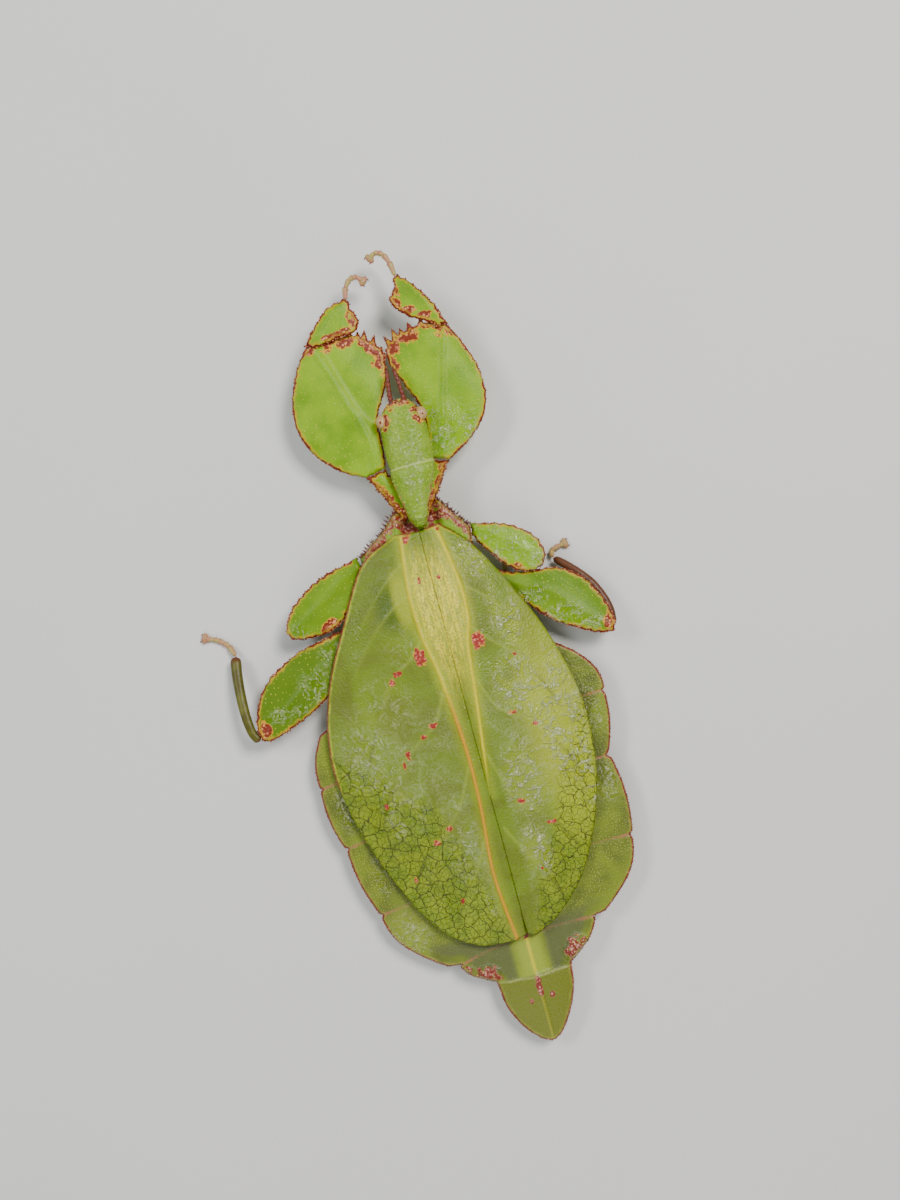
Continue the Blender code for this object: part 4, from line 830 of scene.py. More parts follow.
def make_wing_finish(paint):
    """Wing covers: olive and yellow green with pale main veins, red patches and a dark net, with painted
    sheen, painted reflections and painted glints over the wet film.
    """
    tree, shader = new_finish("wing_cover", roughness=0.4, shine=0.38)
    broad = ramp(tree, noise(tree, 0.006, 3.0, 0.6), 0.35, 0.7)
    base = blend(tree, broad, paint.wing_green, paint.wing_olive)
    base = layer(tree, base, "shade", paint.wing_deep, 0.75)
    glint_crests, fine = film_of(tree, 0.0016, 0.0003)
    wet_glint, sheen_veil, net = (mark(tree, name) for name in ("wet_glint", "sheen_veil", "net"))
    # painted reflection: the wet zones are lightened where the wet film reflected the light
    base = layer(tree, base, wet_glint, paint.wing_light_and_sheen, 0.55)
    # painted sheen: pale grains over the sheen zone stand in for the sheen of the wrinkled film
    grain = ramp(tree, fine, 0.25, 0.7)
    grain = times(tree, grain, ramp(tree, noise(tree, 0.0035), 0.35, 0.6, 0.15, 0.6))
    base = layer(tree, base, times(tree, grain, sheen_veil), paint.sheen_pale)
    lines = use_group(tree, "net_veins", {"Cell": 0.0017, "Line": 0.036, "Wobble": 0.0012})
    fields = blend(tree, ramp(tree, noise(tree, 0.0022), 0.35, 0.65), paint.wing_light_and_sheen, paint.wing_green)
    base = layer(tree, base, net, fields, 0.7)
    streaks = add_node(tree, "ShaderNodeMapping", {"Vector": place(tree), "Scale": (1.0, 0.16, 1.0)})
    streak = ramp(tree, noise(tree, 0.0003, 3.0, 0.5, streaks.outputs[0]), 0.4, 0.6)
    freckle = ramp(tree, noise(tree, 0.00028), 0.44, 0.62)
    panel = layer(tree, paint.panel_yellow, streak, paint.panel_green, 0.8)
    panel = layer(tree, panel, freckle, paint.panel_brown, 0.5)
    base = layer(tree, base, "panel", panel)
    # yellow green beside the veins, and a painted reflection that lightens the right cover's outer field
    base = layer(tree, base, "vein_glow_and_sheen", paint.wing_glow_and_sheen, 0.6)
    dark = compute(tree, "MAXIMUM", lines["Line"], times(tree, lines["Fine Line"], 0.75))
    dark = times(tree, dark, net)
    base = layer(tree, base, dark, paint.net_brown, 0.9)
    base = layer(tree, base, "side_vein", paint.vein_green, 0.35)
    base = layer(tree, base, "dark_vein", paint.net_brown, 0.45)
    base = layer(tree, base, "main_vein", paint.vein_yellow)
    base = layer(tree, base, "orange_vein", paint.vein_orange)
    base, red = patched(tree, base, "blotch", 0.0009, paint.blotch_red, paint.blotch_pink,
                        paint.margin_orange)
    base = rimmed(tree, base, (0.5, 0.24, 0.2), paint.wing_glow_and_sheen, paint.wing_rim_red, paint.rim_pink, 0.0003)
    # painted glints: pale colour on the crests of the wet zones, and faintly in the sheen zone
    glint_crests = times(tree, glint_crests, total(tree, wet_glint, (sheen_veil, 0.1)))
    glint_crests = times(tree, glint_crests, compute(tree, "SUBTRACT", 1.0, red))
    base = layer(tree, base, glint_crests, paint.glint_pale, 0.85)
    height = total(tree, (glint_crests, 2.0), (fine, 0.42), (dark, -0.35), (freckle, 0.15), (red, 0.4))
    patchy = ramp(tree, noise(tree, 0.004, 3.0, 0.5), 0.4, 0.65, 0.42, 0.28)
    roughness = compute(tree, "SUBTRACT", patchy, ramp(tree, wet_glint, 0.0, 0.7, 0.0, 0.14))
    finish_shader(tree, shader, base, (height, 0.9, 0.00018), roughness)


def make_trunk_finish(paint):
    """Shoulders and abdomen: olive leaf skin with yellow specks, seams, pinkish rims and painted glints on
    the wet crests.
    """
    tree, shader = new_finish("trunk_skin", roughness=0.4, shine=0.4)
    tone = ramp(tree, noise(tree, 0.005, 3.0, 0.4), 0.35, 0.7)
    base = blend(tree, tone, paint.abdomen_green, paint.abdomen_olive)
    base = layer(tree, base, "grey", paint.neck_grey)
    base = layer(tree, base, "shoulder", paint.body_green)
    base = layer(tree, base, "tail", paint.tail_green)
    base = layer(tree, base, "ridge", paint.ridge_yellow)
    specks = dots_of(tree, 0.00042, 0.17)
    base = layer(tree, base, times(tree, specks, times(tree, mark(tree, "speckle"), 0.65)),
                 paint.speck_yellow)
    base = layer(tree, base, "midline", paint.vein_yellow)
    seam = times(tree, mark(tree, "seam"), ramp(tree, noise(tree, 0.0005), 0.3, 0.6, 0.5, 1.0))
    base = layer(tree, base, seam, paint.seam_pink)
    base = layer(tree, base, "cross", paint.cross_and_highlight_pale)
    base, red = patched(tree, base, "front", 0.0011, paint.abdomen_rim, paint.curl_pink, paint.seam_pink)
    base = rimmed(tree, base, (0.55, 0.24, 0.3), paint.abdomen_band, paint.abdomen_rim, paint.rim_pink,
                  0.0004)
    glint_crests, fine = film_of(tree, 0.0012, 0.0003)
    wet_glint = mark(tree, "wet_glint")
    # painted glints: pale colour on the crests of the wet zones stands in for highlights
    base = layer(tree, base, times(tree, glint_crests, wet_glint), paint.glint_pale, 0.7)
    height = total(tree, (fine, 0.5), (specks, 0.3), (red, 0.8), (glint_crests, times(tree, wet_glint, 2.4)))
    finish_shader(tree, shader, base, (height, 0.8, 0.00016), ramp(tree, wet_glint, 0.0, 0.8, 0.4, 0.2))


def make_head_finish(paint):
    """Head and pronotum: soft green with paler grains, a painted highlight along the collar, reddish sides
    and painted glints on the wet crests.
    """
    tree, shader = new_finish("head_skin", roughness=0.36, shine=0.34)
    tone = ramp(tree, noise(tree, 0.0025, 3.0), 0.35, 0.7)
    base = blend(tree, tone, paint.body_green, paint.head_green)
    dots = dots_of(tree, 0.0008, 0.15)
    base = layer(tree, base, dots, paint.dot_and_highlight_yellow, 0.45)
    # painted highlight: the pale line along the collar, and a paler front tip of the head
    base = layer(tree, base, "pale_and_highlight", paint.cross_and_highlight_pale)
    base = patched(tree, base, "flank", 0.0009, paint.rim_red, paint.rim_pink, paint.margin_orange)[0]
    glint_crests, fine = film_of(tree, 0.0009, 0.00038)
    # painted glints on the crests of the wet zones
    glint_crests = times(tree, glint_crests, mark(tree, "wet_glint"))
    base = layer(tree, base, glint_crests, paint.glint_pale, 0.7)
    height = total(tree, (fine, 0.7), glint_crests, (dots, 0.4))
    finish_shader(tree, shader, base, (height, 0.8, 0.0002))


def make_plain_finish(name, first, second, size, roughness, shine, joint):
    """Skin of two tones over a fine shagreen, darker where the joint mask says so."""
    tree, shader = new_finish(name, roughness, shine)
    base = blend(tree, ramp(tree, noise(tree, size, 3.0), 0.38, 0.64), first, second)
    if joint is not None:
        base = layer(tree, base, "joint", joint)
    finish_shader(tree, shader, base, (film_of(tree, size, size * 0.35)[1], 0.5, 0.00008))


def make_eye_finish(paint):
    """Cream eye with a brown fleck on top and fine facets."""
    tree, shader = new_finish("eye_skin", roughness=0.2, shine=0.5)
    base = blend(tree, ramp(tree, noise(tree, 0.0006), 0.35, 0.65), paint.eye_cream, paint.eye_tan)
    fleck = ramp(tree, total(tree, mark(tree, "fleck"), (noise(tree, 0.0003), 0.25)), 0.62, 0.75)
    base = layer(tree, base, fleck, paint.rim_red)
    finish_shader(tree, shader, base, (cells(tree, 1 / 9000), 0.35, 0.00004))


def make_grain_finish(name, dark, light):
    """Grains and spines, each with its own tone."""
    tree, shader = new_finish(name, roughness=0.4, shine=0.7)
    tone = ramp(tree, total(tree, mark(tree, "tone"), (noise(tree, 0.0003), 0.3)), 0.5, 1.05)
    finish_shader(tree, shader, blend(tree, tone, dark, light))


def new_tree(name, source, sizes, result):
    """An empty Geometry Nodes tree with named inputs, and its two ends."""
    tree = bpy.data.node_groups.new(name, "GeometryNodeTree")
    tree.interface.new_socket(source, in_out="INPUT", socket_type="NodeSocketGeometry")
    for label, value in sizes.items():
        kind = "NodeSocketInt" if isinstance(value, int) else "NodeSocketFloat"
        tree.interface.new_socket(label, in_out="INPUT", socket_type=kind).default_value = value
    tree.interface.new_socket("Finish", in_out="INPUT", socket_type="NodeSocketMaterial")
    tree.interface.new_socket(result, in_out="OUTPUT", socket_type="NodeSocketGeometry")
    return tree, tree.nodes.new("NodeGroupInput").outputs, tree.nodes.new("NodeGroupOutput").inputs


def end_tree(tree, given, out, copies):
    """Makes the copies real and smooth and gives them their finish."""
    real = add_node(tree, "GeometryNodeRealizeInstances", {"Geometry": copies}).outputs[0]
    smooth = add_node(tree, "GeometryNodeSetShadeSmooth", {"Geometry": real}).outputs[0]
    done = add_node(tree, "GeometryNodeSetMaterial", {"Geometry": smooth, "Material": given["Finish"]})
    tree.links.new(done.outputs[0], out[0])


def place_grains(tree, given, out, points):
    """A small round grain of its own size and tone on each point."""
    grain = add_node(
        tree, "GeometryNodeMeshIcoSphere", {"Radius": given["Grain Size"], "Subdivisions": 1}).outputs[0]
    scale = add_node(
        tree, "FunctionNodeRandomValue", {2: 0.55, 3: 1.35, "Seed": given["Seed"]}, data_type="FLOAT")
    placed = add_node(
        tree, "GeometryNodeInstanceOnPoints",
        {"Points": points, "Instance": grain, "Scale": scale.outputs[1]}).outputs[0]
    tone = add_node(
        tree, "FunctionNodeRandomValue",
        {2: 0.0, 3: 1.0, "Seed": total(tree, given["Seed"], 11.0)}, data_type="FLOAT")
    toned = add_node(
        tree, "GeometryNodeStoreNamedAttribute",
        {"Geometry": placed, "Name": "tone", "Value": tone.outputs[1]},
        data_type="FLOAT", domain="INSTANCE")
    end_tree(tree, given, out, toned.outputs[0])


def make_rim_grain_tree():
    """Geometry Nodes: uneven grains along every line of the given mesh."""
    tree, given, out = new_tree(
        "rim_grains", "Lines",
        {"Spacing": 0.00035, "Grain Size": 0.00014, "Scatter": 0.00008, "Seed": SEED}, "Grains")
    curve = add_node(tree, "GeometryNodeMeshToCurve", {"Mesh": given["Lines"]}).outputs[0]
    even = add_node(
        tree, "GeometryNodeResampleCurve", {"Curve": curve, "Length": given["Spacing"]}, mode="LENGTH")
    jitter = add_node(
        tree, "FunctionNodeRandomValue",
        {0: (-1.0, -1.0, -1.0), 1: (1.0, 1.0, 1.0), "Seed": given["Seed"]}, data_type="FLOAT_VECTOR")
    offset = add_node(
        tree, "ShaderNodeVectorMath", {0: jitter.outputs[0], 3: given["Scatter"]}, operation="SCALE")
    moved = add_node(
        tree, "GeometryNodeSetPosition", {"Geometry": even.outputs[0], "Offset": offset.outputs[0]})
    place_grains(tree, given, out, moved.outputs[0])


def make_skin_grain_tree():
    """Geometry Nodes: grains scattered over a skin where its mask says so."""
    tree, given, out = new_tree(
        "skin_grains", "Skin", {"Spacing": 0.0004, "Grain Size": 0.00012, "Seed": SEED}, "Grains")
    mask = add_node(tree, "GeometryNodeInputNamedAttribute", {"Name": "grainy"}, data_type="FLOAT")
    points = add_node(
        tree, "GeometryNodeDistributePointsOnFaces",
        {"Mesh": given["Skin"], "Distance Min": given["Spacing"], "Density Max": 2.0e7,
         "Density Factor": mask.outputs[0], "Seed": given["Seed"]},
        distribute_method="POISSON")
    place_grains(tree, given, out, points.outputs[0])


def make_spine_tree():
    """Geometry Nodes: a tapered spine on each point, as long and as slanted as its masks say."""
    tree, given, out = new_tree("spines", "Points", {"Root Radius": 0.0002}, "Spines")
    cone = add_node(
        tree, "GeometryNodeMeshCone",
        {"Vertices": 7, "Side Segments": 3, "Radius Top": 0.00002, "Radius Bottom": given["Root Radius"],
         "Depth": 0.001})
    lean = add_node(tree, "GeometryNodeInputNamedAttribute", {"Name": "lean"}, data_type="FLOAT_VECTOR")
    length = add_node(tree, "GeometryNodeInputNamedAttribute", {"Name": "length"}, data_type="FLOAT")
    turn = add_node(tree, "FunctionNodeAlignRotationToVector", {"Vector": lean.outputs[0]}, axis="Z")
    scale = add_node(tree, "ShaderNodeCombineXYZ", {"X": 1.0, "Y": 1.0, "Z": length.outputs[0]})
    cloud = add_node(tree, "GeometryNodeMeshToPoints", {"Mesh": given["Points"]})
    placed = add_node(
        tree, "GeometryNodeInstanceOnPoints",
        {"Points": cloud.outputs[0], "Instance": cone.outputs[0], "Rotation": turn.outputs[0],
         "Scale": scale.outputs[0]})
    end_tree(tree, given, out, placed.outputs[0])


def grow(name, source, tree_name, values):
    """Runs a Geometry Nodes tree on a source mesh and keeps the result as a plain mesh."""
    tree = bpy.data.node_groups[tree_name]
    modifier = source.modifiers.new(name, "NODES")
    modifier.node_group = tree
    for item in tree.interface.items_tree:
        if item.in_out == "INPUT" and item.name in values:
            modifier[item.identifier] = values[item.name]
    bpy.context.view_layer.update()
    graph = bpy.context.evaluated_depsgraph_get()
    mesh = bpy.data.meshes.new_from_object(source.evaluated_get(graph))
    source.modifiers.remove(modifier)
    mesh.name = name
    if not len(mesh.materials):
        mesh.materials.append(values["Finish"])
    return add_object(name, mesh)


def lines_object(lines):
    """A mesh of plain edges along the given lines, for Geometry Nodes to work on."""
    points, edges = [], []
    for line in lines:
        start = len(points)
        points += in_frame(line).tolist()
        edges += [(start + k, start + k + 1) for k in range(len(line) - 1)]
    mesh = bpy.data.meshes.new("lines")
    mesh.from_pydata(points, edges, [])
    return add_object("lines", mesh)


def drop(helper):
    bpy.data.objects.remove(helper, do_unlink=True)


# Lines along rims that the grains follow, gathered while the pieces are made
rim_lines = {"leg": [], "trunk": [], "wing": []}


def rim_of(outline, height):
    """The outline as a closed line in space at the height of the sheet's middle."""
    closed = np.vstack([outline, outline[:1]])
    return np.column_stack([closed, height(closed)])


def station_lines(stations, side, rows=160):
    """Outer rim, inner rim and shaft of a lobed segment on the plan, and its rows' shares."""
    flat = smooth_path([(*outer, *inner, share) for outer, inner, share in stations], rows)
    outer, inner, share = flat[:, 0:2].copy(), flat[:, 2:4].copy(), flat[:, 4:5]
    outer[:, 0] *= side
    inner[:, 0] *= side
    return outer, inner, outer + (inner - outer) * share


def add_teeth(outline, stations, side):
    """Draws the teeth of a fore femur out of its outline."""
    outers = [station[0] for station in stations]
    inners = [station[1] for station in stations]
    rim = [outers[-1]] + [inners[row] for row in range(len(inners) - 1, len(inners) - 6, -1)]
    front = smooth_path(sided(rim, side), 41)
    middle = np.mean([station[1] for station in stations], axis=0) * (side, 1)
    shaped = outline.copy()
    for share, length, half in FEMUR_TEETH:
        at = int(share * (len(front) - 1))
        along = front[at + 1] - front[at - 1]
        normal = np.array([-along[1], along[0]]) / np.linalg.norm(along)
        if normal @ (front[at] - middle) < 0:
            normal = -normal
        lean = normal + (0, -1.5)
        lean /= np.linalg.norm(lean)
        gap = np.linalg.norm(outline - front[at], axis=1)
        rise = np.clip(1 - gap / half, 0, 1) ** 1.15
        shaped += lean * (length * rise)[:, None]
    return shaped, front


def lobed_piece(name, stations, side, heights, shaft, edge_drop, step, seed, front_teeth=False,
                wet_glint=(), tooth=0.1, reds=(), deep=0.0, line=1.0, fold=None, plain_root=True):
    """A leaf-like leg segment with a round shaft along it and a finely toothed rim, in place
    of the solid of that name."""
    outer, inner, axis = station_lines(stations, side)
    row_places = lengths_along(axis)
    length = row_places[-1]
    row_places /= length
    rises = smooth_path([[height] for height in heights], len(axis))[:, 0]
    outline = spaced(np.vstack([outer, inner[::-1]]), LEG_RIM_STEP, closed=True)
    outline = ragged(outline, depth=min(1.6 * tooth, 0.26), pitch=1.3, seed=seed + 1)
    front = None
    if front_teeth:
        outline, front = add_teeth(outline, stations, side)
    outline = ragged(outline, depth=tooth, pitch=0.42, seed=seed)

    def middle(points):
        reach, share = nearest(points, axis[::4])
        z = np.interp(share, row_places, rises)
        return z - edge_drop * (reach / 8.0) ** 2, reach, share

    def shape(points, edge):
        z, reach, share = middle(points)
        swell = shaft[0] + (shaft[1] - shaft[0]) * share
        bulge = 0.36 * (swell - SHEET) * np.exp(-(reach / (0.6 * swell)) ** 2)
        bulge *= soft(edge, 0.0, 0.5)
        crease = 0.07 * line * np.exp(-((reach - 0.62 * swell) / 0.16) ** 2)
        waves = 0.05 * np.sin(points[:, 0] * 1.1 + 0.6 * points[:, 1]) * soft(edge, 0.3, 1.5)
        crest_highlight = np.exp(-((reach - 0.6 * swell) / 0.11) ** 2) * line
        folded = np.zeros(len(points))
        if fold is not None:
            gap, _ = nearest(points, smooth_path(sided(fold, side), 40))
            folded = np.exp(-(gap / 0.3) ** 2)
        reds_zone = patches(points, reds, side)
        if front is not None:
            near, _ = nearest(points, front[::2])
            reds_zone = np.maximum(reds_zone, soft(near, 2.7, 0.0))
        marks = {
            "shaft": soft(reach, 0.74, 0.15) * soft(edge, 0.0, 0.4) * line,
            # painted highlight: a pale line along the shaft's crest and along the fold
            "crest_highlight": np.maximum(crest_highlight, folded * 0.8) * soft(edge, 0.2, 0.8) * 0.7,
            # wet zones, where glints are painted
            "wet_glint": patches(points, wet_glint, side),
            "front": reds_zone,
            "deep": np.full(len(points), deep),
            "rim_plain": soft(share * length, 0.7, 0.1) * plain_root,
        }
        top = z + SHEET / 2 + bulge - crease + waves + 0.1 * folded * soft(edge, 0.2, 0.8)
        return top, z - SHEET / 2 - bulge + waves, marks

    piece = leaf_piece(f"{name}_skin", outline, step, shape, finish_of("leg_leaf"))
    rim_lines["leg"].append(rim_of(outline, lambda points: middle(points)[0]))
    dress(piece, "leaf_green", name)


def tube_piece(name, slot, places, side, wide, high, count, finish, sides=20, marks=None):
    """A round or oval segment along a smooth path, in place of the solid of that name."""
    path = smooth_path(sided(places, side), count)
    share = np.linspace(0, 1, count)
    ends = np.clip(np.minimum(share, 1 - share) * 14, 0, 1)
    rounding = np.sqrt(1 - (1 - ends) ** 2) * 0.85 + 0.15
    widths = np.interp(share, np.linspace(0, 1, len(wide)), wide) * rounding
    heights = np.interp(share, np.linspace(0, 1, len(high)), high) * rounding
    spread = {key: np.repeat(np.asarray(value)[:, None], sides, 1) for key, value in (marks or {}).items()}
    rings = path_rings(path, widths, heights, sides)
    dress(rounded_piece(f"{name}_skin", rings, finish_of(finish), spread), slot, name)


def join(name, pieces):
    """Puts like pieces into one mesh."""
    first = pieces[0]
    with bpy.context.temp_override(active_object=first, object=first, selected_objects=pieces,
                                   selected_editable_objects=pieces):
        bpy.ops.object.join()
    first.name = name
    first.data.name = name
    return first


def tarsus_piece(name, places, side, on_floor):
    """A foot in place of its solid: five swollen joints and a pad between two curved claws."""
    skin, claw_skin = finish_of("foot_skin"), finish_of("claw_skin")
    count = 61
    path = smooth_path(sided(places, side), count)
    share = np.linspace(0, 1, count)
    joints = np.array([0.0, 0.3, 0.48, 0.62, 0.75, 1.0])
    index = np.clip(np.searchsorted(joints, share, side="right") - 1, 0, 4)
    within = (share - joints[index]) / (joints[index + 1] - joints[index])
    radius = 0.29 + 0.17 * within ** 1.5
    radius *= np.clip(np.minimum(share * 20, (1 - share) * 14), 0.4, 1)
    joint = np.maximum(soft(within, 0.82, 1.0), soft(within, 0.1, 0.0)) * 0.9
    marks = {"joint": np.repeat(joint[:, None], 14, 1)}
    high = np.minimum(radius, path[:, 2] - 0.02) if on_floor else radius
    foot = rounded_piece(name, path_rings(path, radius, high, 14), skin, marks)
    end = path[-1]
    ahead = path[-1] - path[-4]
    ahead /= np.linalg.norm(ahead)
    across = np.cross(ahead, (0, 0, 1))
    across /= np.linalg.norm(across)
    pieces = [foot]
    for turn in (1, -1):
        base = end - ahead * 0.15 + across * turn * 0.1
        tip_z = 0.12 if on_floor else end[2] - 0.25
        tip = end + ahead * 0.66 + across * turn * 0.42
        tip[2] = tip_z
        belly = end + ahead * 0.42 + across * turn * 0.5
        belly[2] = end[2] + 0.02
        claw = smooth_path([base, belly, tip], 12)
        sizes = np.linspace(0.16, 0.03, 12)
        marks = {"joint": np.ones((12, 10))}
        pieces.append(rounded_piece("claw", path_rings(claw, sizes, sizes, 10), claw_skin, marks))
    pad = smooth_path([end - ahead * 0.45, end + ahead * 0.05, end + ahead * 0.5], 14)
    pad_share = np.linspace(0, 1, 14)
    wide = 0.76 * np.sqrt(np.clip(1 - (2 * pad_share - 1) ** 2, 0.05, 1))
    marks = {"joint": np.full((14, 16), 0.4)}
    pieces.append(rounded_piece("pad", path_rings(pad, wide, wide * 0.5, 16), skin, marks))
    dress(join(f"{name}_skin", pieces), "tarsus_pink", name)


def head_point(out, s, rise):
    """A place on the head: out to the left, s forward from the neck, a rise above its middle."""
    x = NECK[0] + out * math.cos(HEAD_TURN) - s * math.sin(HEAD_TURN)
    y = NECK[1] - s * math.cos(HEAD_TURN) - out * math.sin(HEAD_TURN)
    return np.array([x, y, NECK[2] + rise])


def oval_rings(rows, count, sides, turn):
    """Rings across the body from rows of middle x, y, z, half width, up and down."""
    rings, angles = [], np.linspace(0, 2 * math.pi, sides, endpoint=False)
    for x, y, z, half, up, down in smooth_path(rows, count):
        across = half * np.cos(angles)
        rise = np.where(np.sin(angles) > 0, up, down) * np.sin(angles)
        rings.append(np.stack([x + across * math.cos(turn), y - across * math.sin(turn), z + rise], axis=1))
    return np.array(rings), angles


def tegmen_half_width(side):
    """How far out a wing cover reaches at each y."""
    edge = smooth_path(TEGMEN_EDGE[side], 120)
    return lambda y: np.interp(y, edge[:, 1], edge[:, 0])


def cover_z(points):
    """Height of the wing covers' domed middle surface over points of the plan."""
    x, y = points[:, 0], points[:, 1]
    half = np.where(x >= 0, tegmen_half_width(LEFT)(y), tegmen_half_width(RIGHT)(y))
    share = np.minimum(np.abs(x) / np.maximum(half, 0.5), 1.0)
    return tegmen_rim_z(y) + tegmen_crown(y) * (1 - share ** 2)


def length_property(name, description, value, low, high):
    """A length given in millimetres."""
    return bpy.props.FloatProperty(
        name=name, description=description, default=value * MM, min=low * MM, max=high * MM,
        unit="LENGTH", precision=5)


class InsectSizes(bpy.types.PropertyGroup):
    """Sizes of the insect's finer forms"""

    mesh_step: length_property(
        "Mesh step", "Distance between points on the leaf-like sheets", 0.2, 0.1, 1.0)
    vein_rise: length_property(
        "Vein rise", "Height of the main veins above the wing covers", 0.3, 0.0, 0.35)
    rim_tooth: length_property(
        "Rim tooth", "Depth of the small teeth along the legs' rims", 0.11, 0.0, 0.5)
    rim_grain: length_property(
        "Rim grain", "Radius of the grains along the legs' rims", 0.09, 0.02, 0.3)
    rim_grain_gap: length_property(
        "Rim grain gap", "Distance between grains along a rim", 0.27, 0.1, 2.0)
    skin_grain: length_property(
        "Skin grain", "Radius of the grains on head, pronotum and shoulders", 0.1, 0.02, 0.3)


def tint_property(name, description, value):
    """A colour given as linear red, green and blue."""
    return bpy.props.FloatVectorProperty(
        name=name, description=description, default=value, size=3, min=0.0, max=1.0, subtype="COLOR")


class InsectColours(bpy.types.PropertyGroup):
    """Colours of the insect's skin"""

    leg_green: tint_property("Leg green", "Fresh green of the leaf-like legs", (0.23, 0.41, 0.001))
    leg_deep_green: tint_property("Leg deep green", "Deeper patches on the legs", (0.135, 0.28, 0.001))
    leg_shaft_green: tint_property("Leg shaft", "Green of the shaft along a leg", (0.075, 0.18, 0.002))
    leg_shade_green: tint_property("Leg shade", "Darker green of the walking legs", (0.078, 0.15, 0.001))
    margin_orange: tint_property("Patch margin", "Orange margin of the red patches", (0.75, 0.33, 0.025))
    # Painted glints: this pale colour, painted on the crests of the wet film, stands in for highlights
    glint_pale: tint_property("Crests", "Pale crests of the wet film", (0.66, 0.72, 0.4))
    # painted sheen: pale grey green grains painted where the wrinkled film showed a sheen
    sheen_pale: tint_property("Film", "Pale grey green of the drying film", (0.24, 0.285, 0.09))
    panel_green: tint_property("Panel green", "Green streaks of the middle panel", (0.3, 0.38, 0.02))
    panel_brown: tint_property("Panel brown", "Brown freckles of the middle panel", (0.3, 0.2, 0.03))
    ridge_yellow: tint_property("Ridge", "Yellow green ridge before the last shield", (0.3, 0.37, 0.03))
    speck_yellow: tint_property("Specks", "Yellow specks of the abdomen", (0.46, 0.46, 0.08))
    curl_pink: tint_property("Curl", "Pink grains of the curled last lobes", (0.6, 0.27, 0.21))
    foot_brown: tint_property("Foot joints", "Brown joints of the feet", (0.36, 0.13, 0.07))
    # also the painted highlight along the legs' shaft crests
    dot_and_highlight_yellow: tint_property("Dots", "Pale dots on legs and body", (0.56, 0.62, 0.06))
    band_yellow: tint_property("Rim band", "Yellow band inside the legs' rims", (0.5, 0.33, 0.01))
    rim_red: tint_property("Rim red", "Brick red of the rims and teeth", (0.2, 0.024, 0.007))
    rim_pink: tint_property("Rim pink", "Pale pink grains in the red rims", (0.72, 0.3, 0.13))
    wing_green: tint_property("Wing green", "Main green of the wing covers", (0.15, 0.225, 0.003))
    wing_olive: tint_property("Wing olive", "Olive patches of the wing covers", (0.12, 0.15, 0.004))
    # also the painted reflection that lightens the wet zones of the covers
    wing_light_and_sheen: tint_property("Wing light", "Light green cells of the net", (0.26, 0.33, 0.006))
    wing_deep: tint_property("Wing deep", "Deep green beside the seam", (0.065, 0.115, 0.002))
    # also the painted reflection over the right cover's outer field
    wing_glow_and_sheen: tint_property("Wing glow", "Yellow green beside the veins", (0.46, 0.5, 0.02))
    panel_yellow: tint_property("Panel", "Yellow of the raised middle panel", (0.8, 0.7, 0.03))
    vein_yellow: tint_property("Main vein", "Yellow of the main veins in front", (0.66, 0.56, 0.015))
    vein_orange: tint_property("Rear vein", "Orange of the main vein further back", (0.66, 0.3, 0.012))
    vein_green: tint_property("Side vein", "Pale green of the side veins", (0.38, 0.46, 0.045))
    net_brown: tint_property("Net", "Dark lines of the net of veins", (0.035, 0.032, 0.002))
    blotch_red: tint_property("Blotch red", "Red patches of the wing covers", (0.3, 0.02, 0.01))
    blotch_pink: tint_property("Blotch pink", "Pink grains of the red patches", (0.66, 0.2, 0.11))
    wing_rim_red: tint_property("Wing rim", "Reddish rim of the wing covers", (0.3, 0.1, 0.03))
    abdomen_green: tint_property("Abdomen green", "Green of the abdomen's lobes", (0.17, 0.225, 0.008))
    abdomen_olive: tint_property("Abdomen olive", "Darker olive of the lobes", (0.085, 0.105, 0.01))
    abdomen_band: tint_property("Abdomen band", "Light band inside the lobes' rims", (0.27, 0.25, 0.03))
    abdomen_rim: tint_property("Abdomen rim", "Pinkish brown rim of the lobes", (0.22, 0.03, 0.013))
    seam_pink: tint_property("Seam", "Pinkish seams between the lobes", (0.42, 0.13, 0.08))
    neck_grey: tint_property("Neck", "Grey green sheets before the last shield", (0.095, 0.112, 0.03))
    # the collar's pale line is a painted highlight
    cross_and_highlight_pale: tint_property("Pale lines", "Pale cross lines of collar and shield", (0.58, 0.6, 0.22))
    tail_green: tint_property("Tail", "Green of the last shield", (0.148, 0.172, 0.008))
    body_green: tint_property("Body green", "Green of head and shoulders", (0.18, 0.31, 0.006))
    head_green: tint_property("Head green", "Paler green of the head", (0.25, 0.385, 0.022))
    eye_cream: tint_property("Eye cream", "Cream of the eyes", (0.5, 0.33, 0.14))
    eye_tan: tint_property("Eye tan", "Darker cream of the eyes", (0.42, 0.25, 0.1))
    antenna_brown: tint_property("Antenna", "Red brown of the antennae", (0.12, 0.022, 0.012))
    tarsus_pink: tint_property("Foot pink", "Pinkish feet", (0.5, 0.2, 0.12))
    tarsus_yellow: tint_property("Foot yellow", "Yellow green of the feet", (0.42, 0.33, 0.09))
    tibia_olive: tint_property("Tibia", "Olive of the shins", (0.08, 0.07, 0.006))
    tibia_green: tint_property("Tibia green", "Green of the shins", (0.12, 0.12, 0.01))
    floor_pale: tint_property("Floor", "Plain pale floor", (0.72, 0.71, 0.69))


def finish_of(name):
    return bpy.data.materials[name]


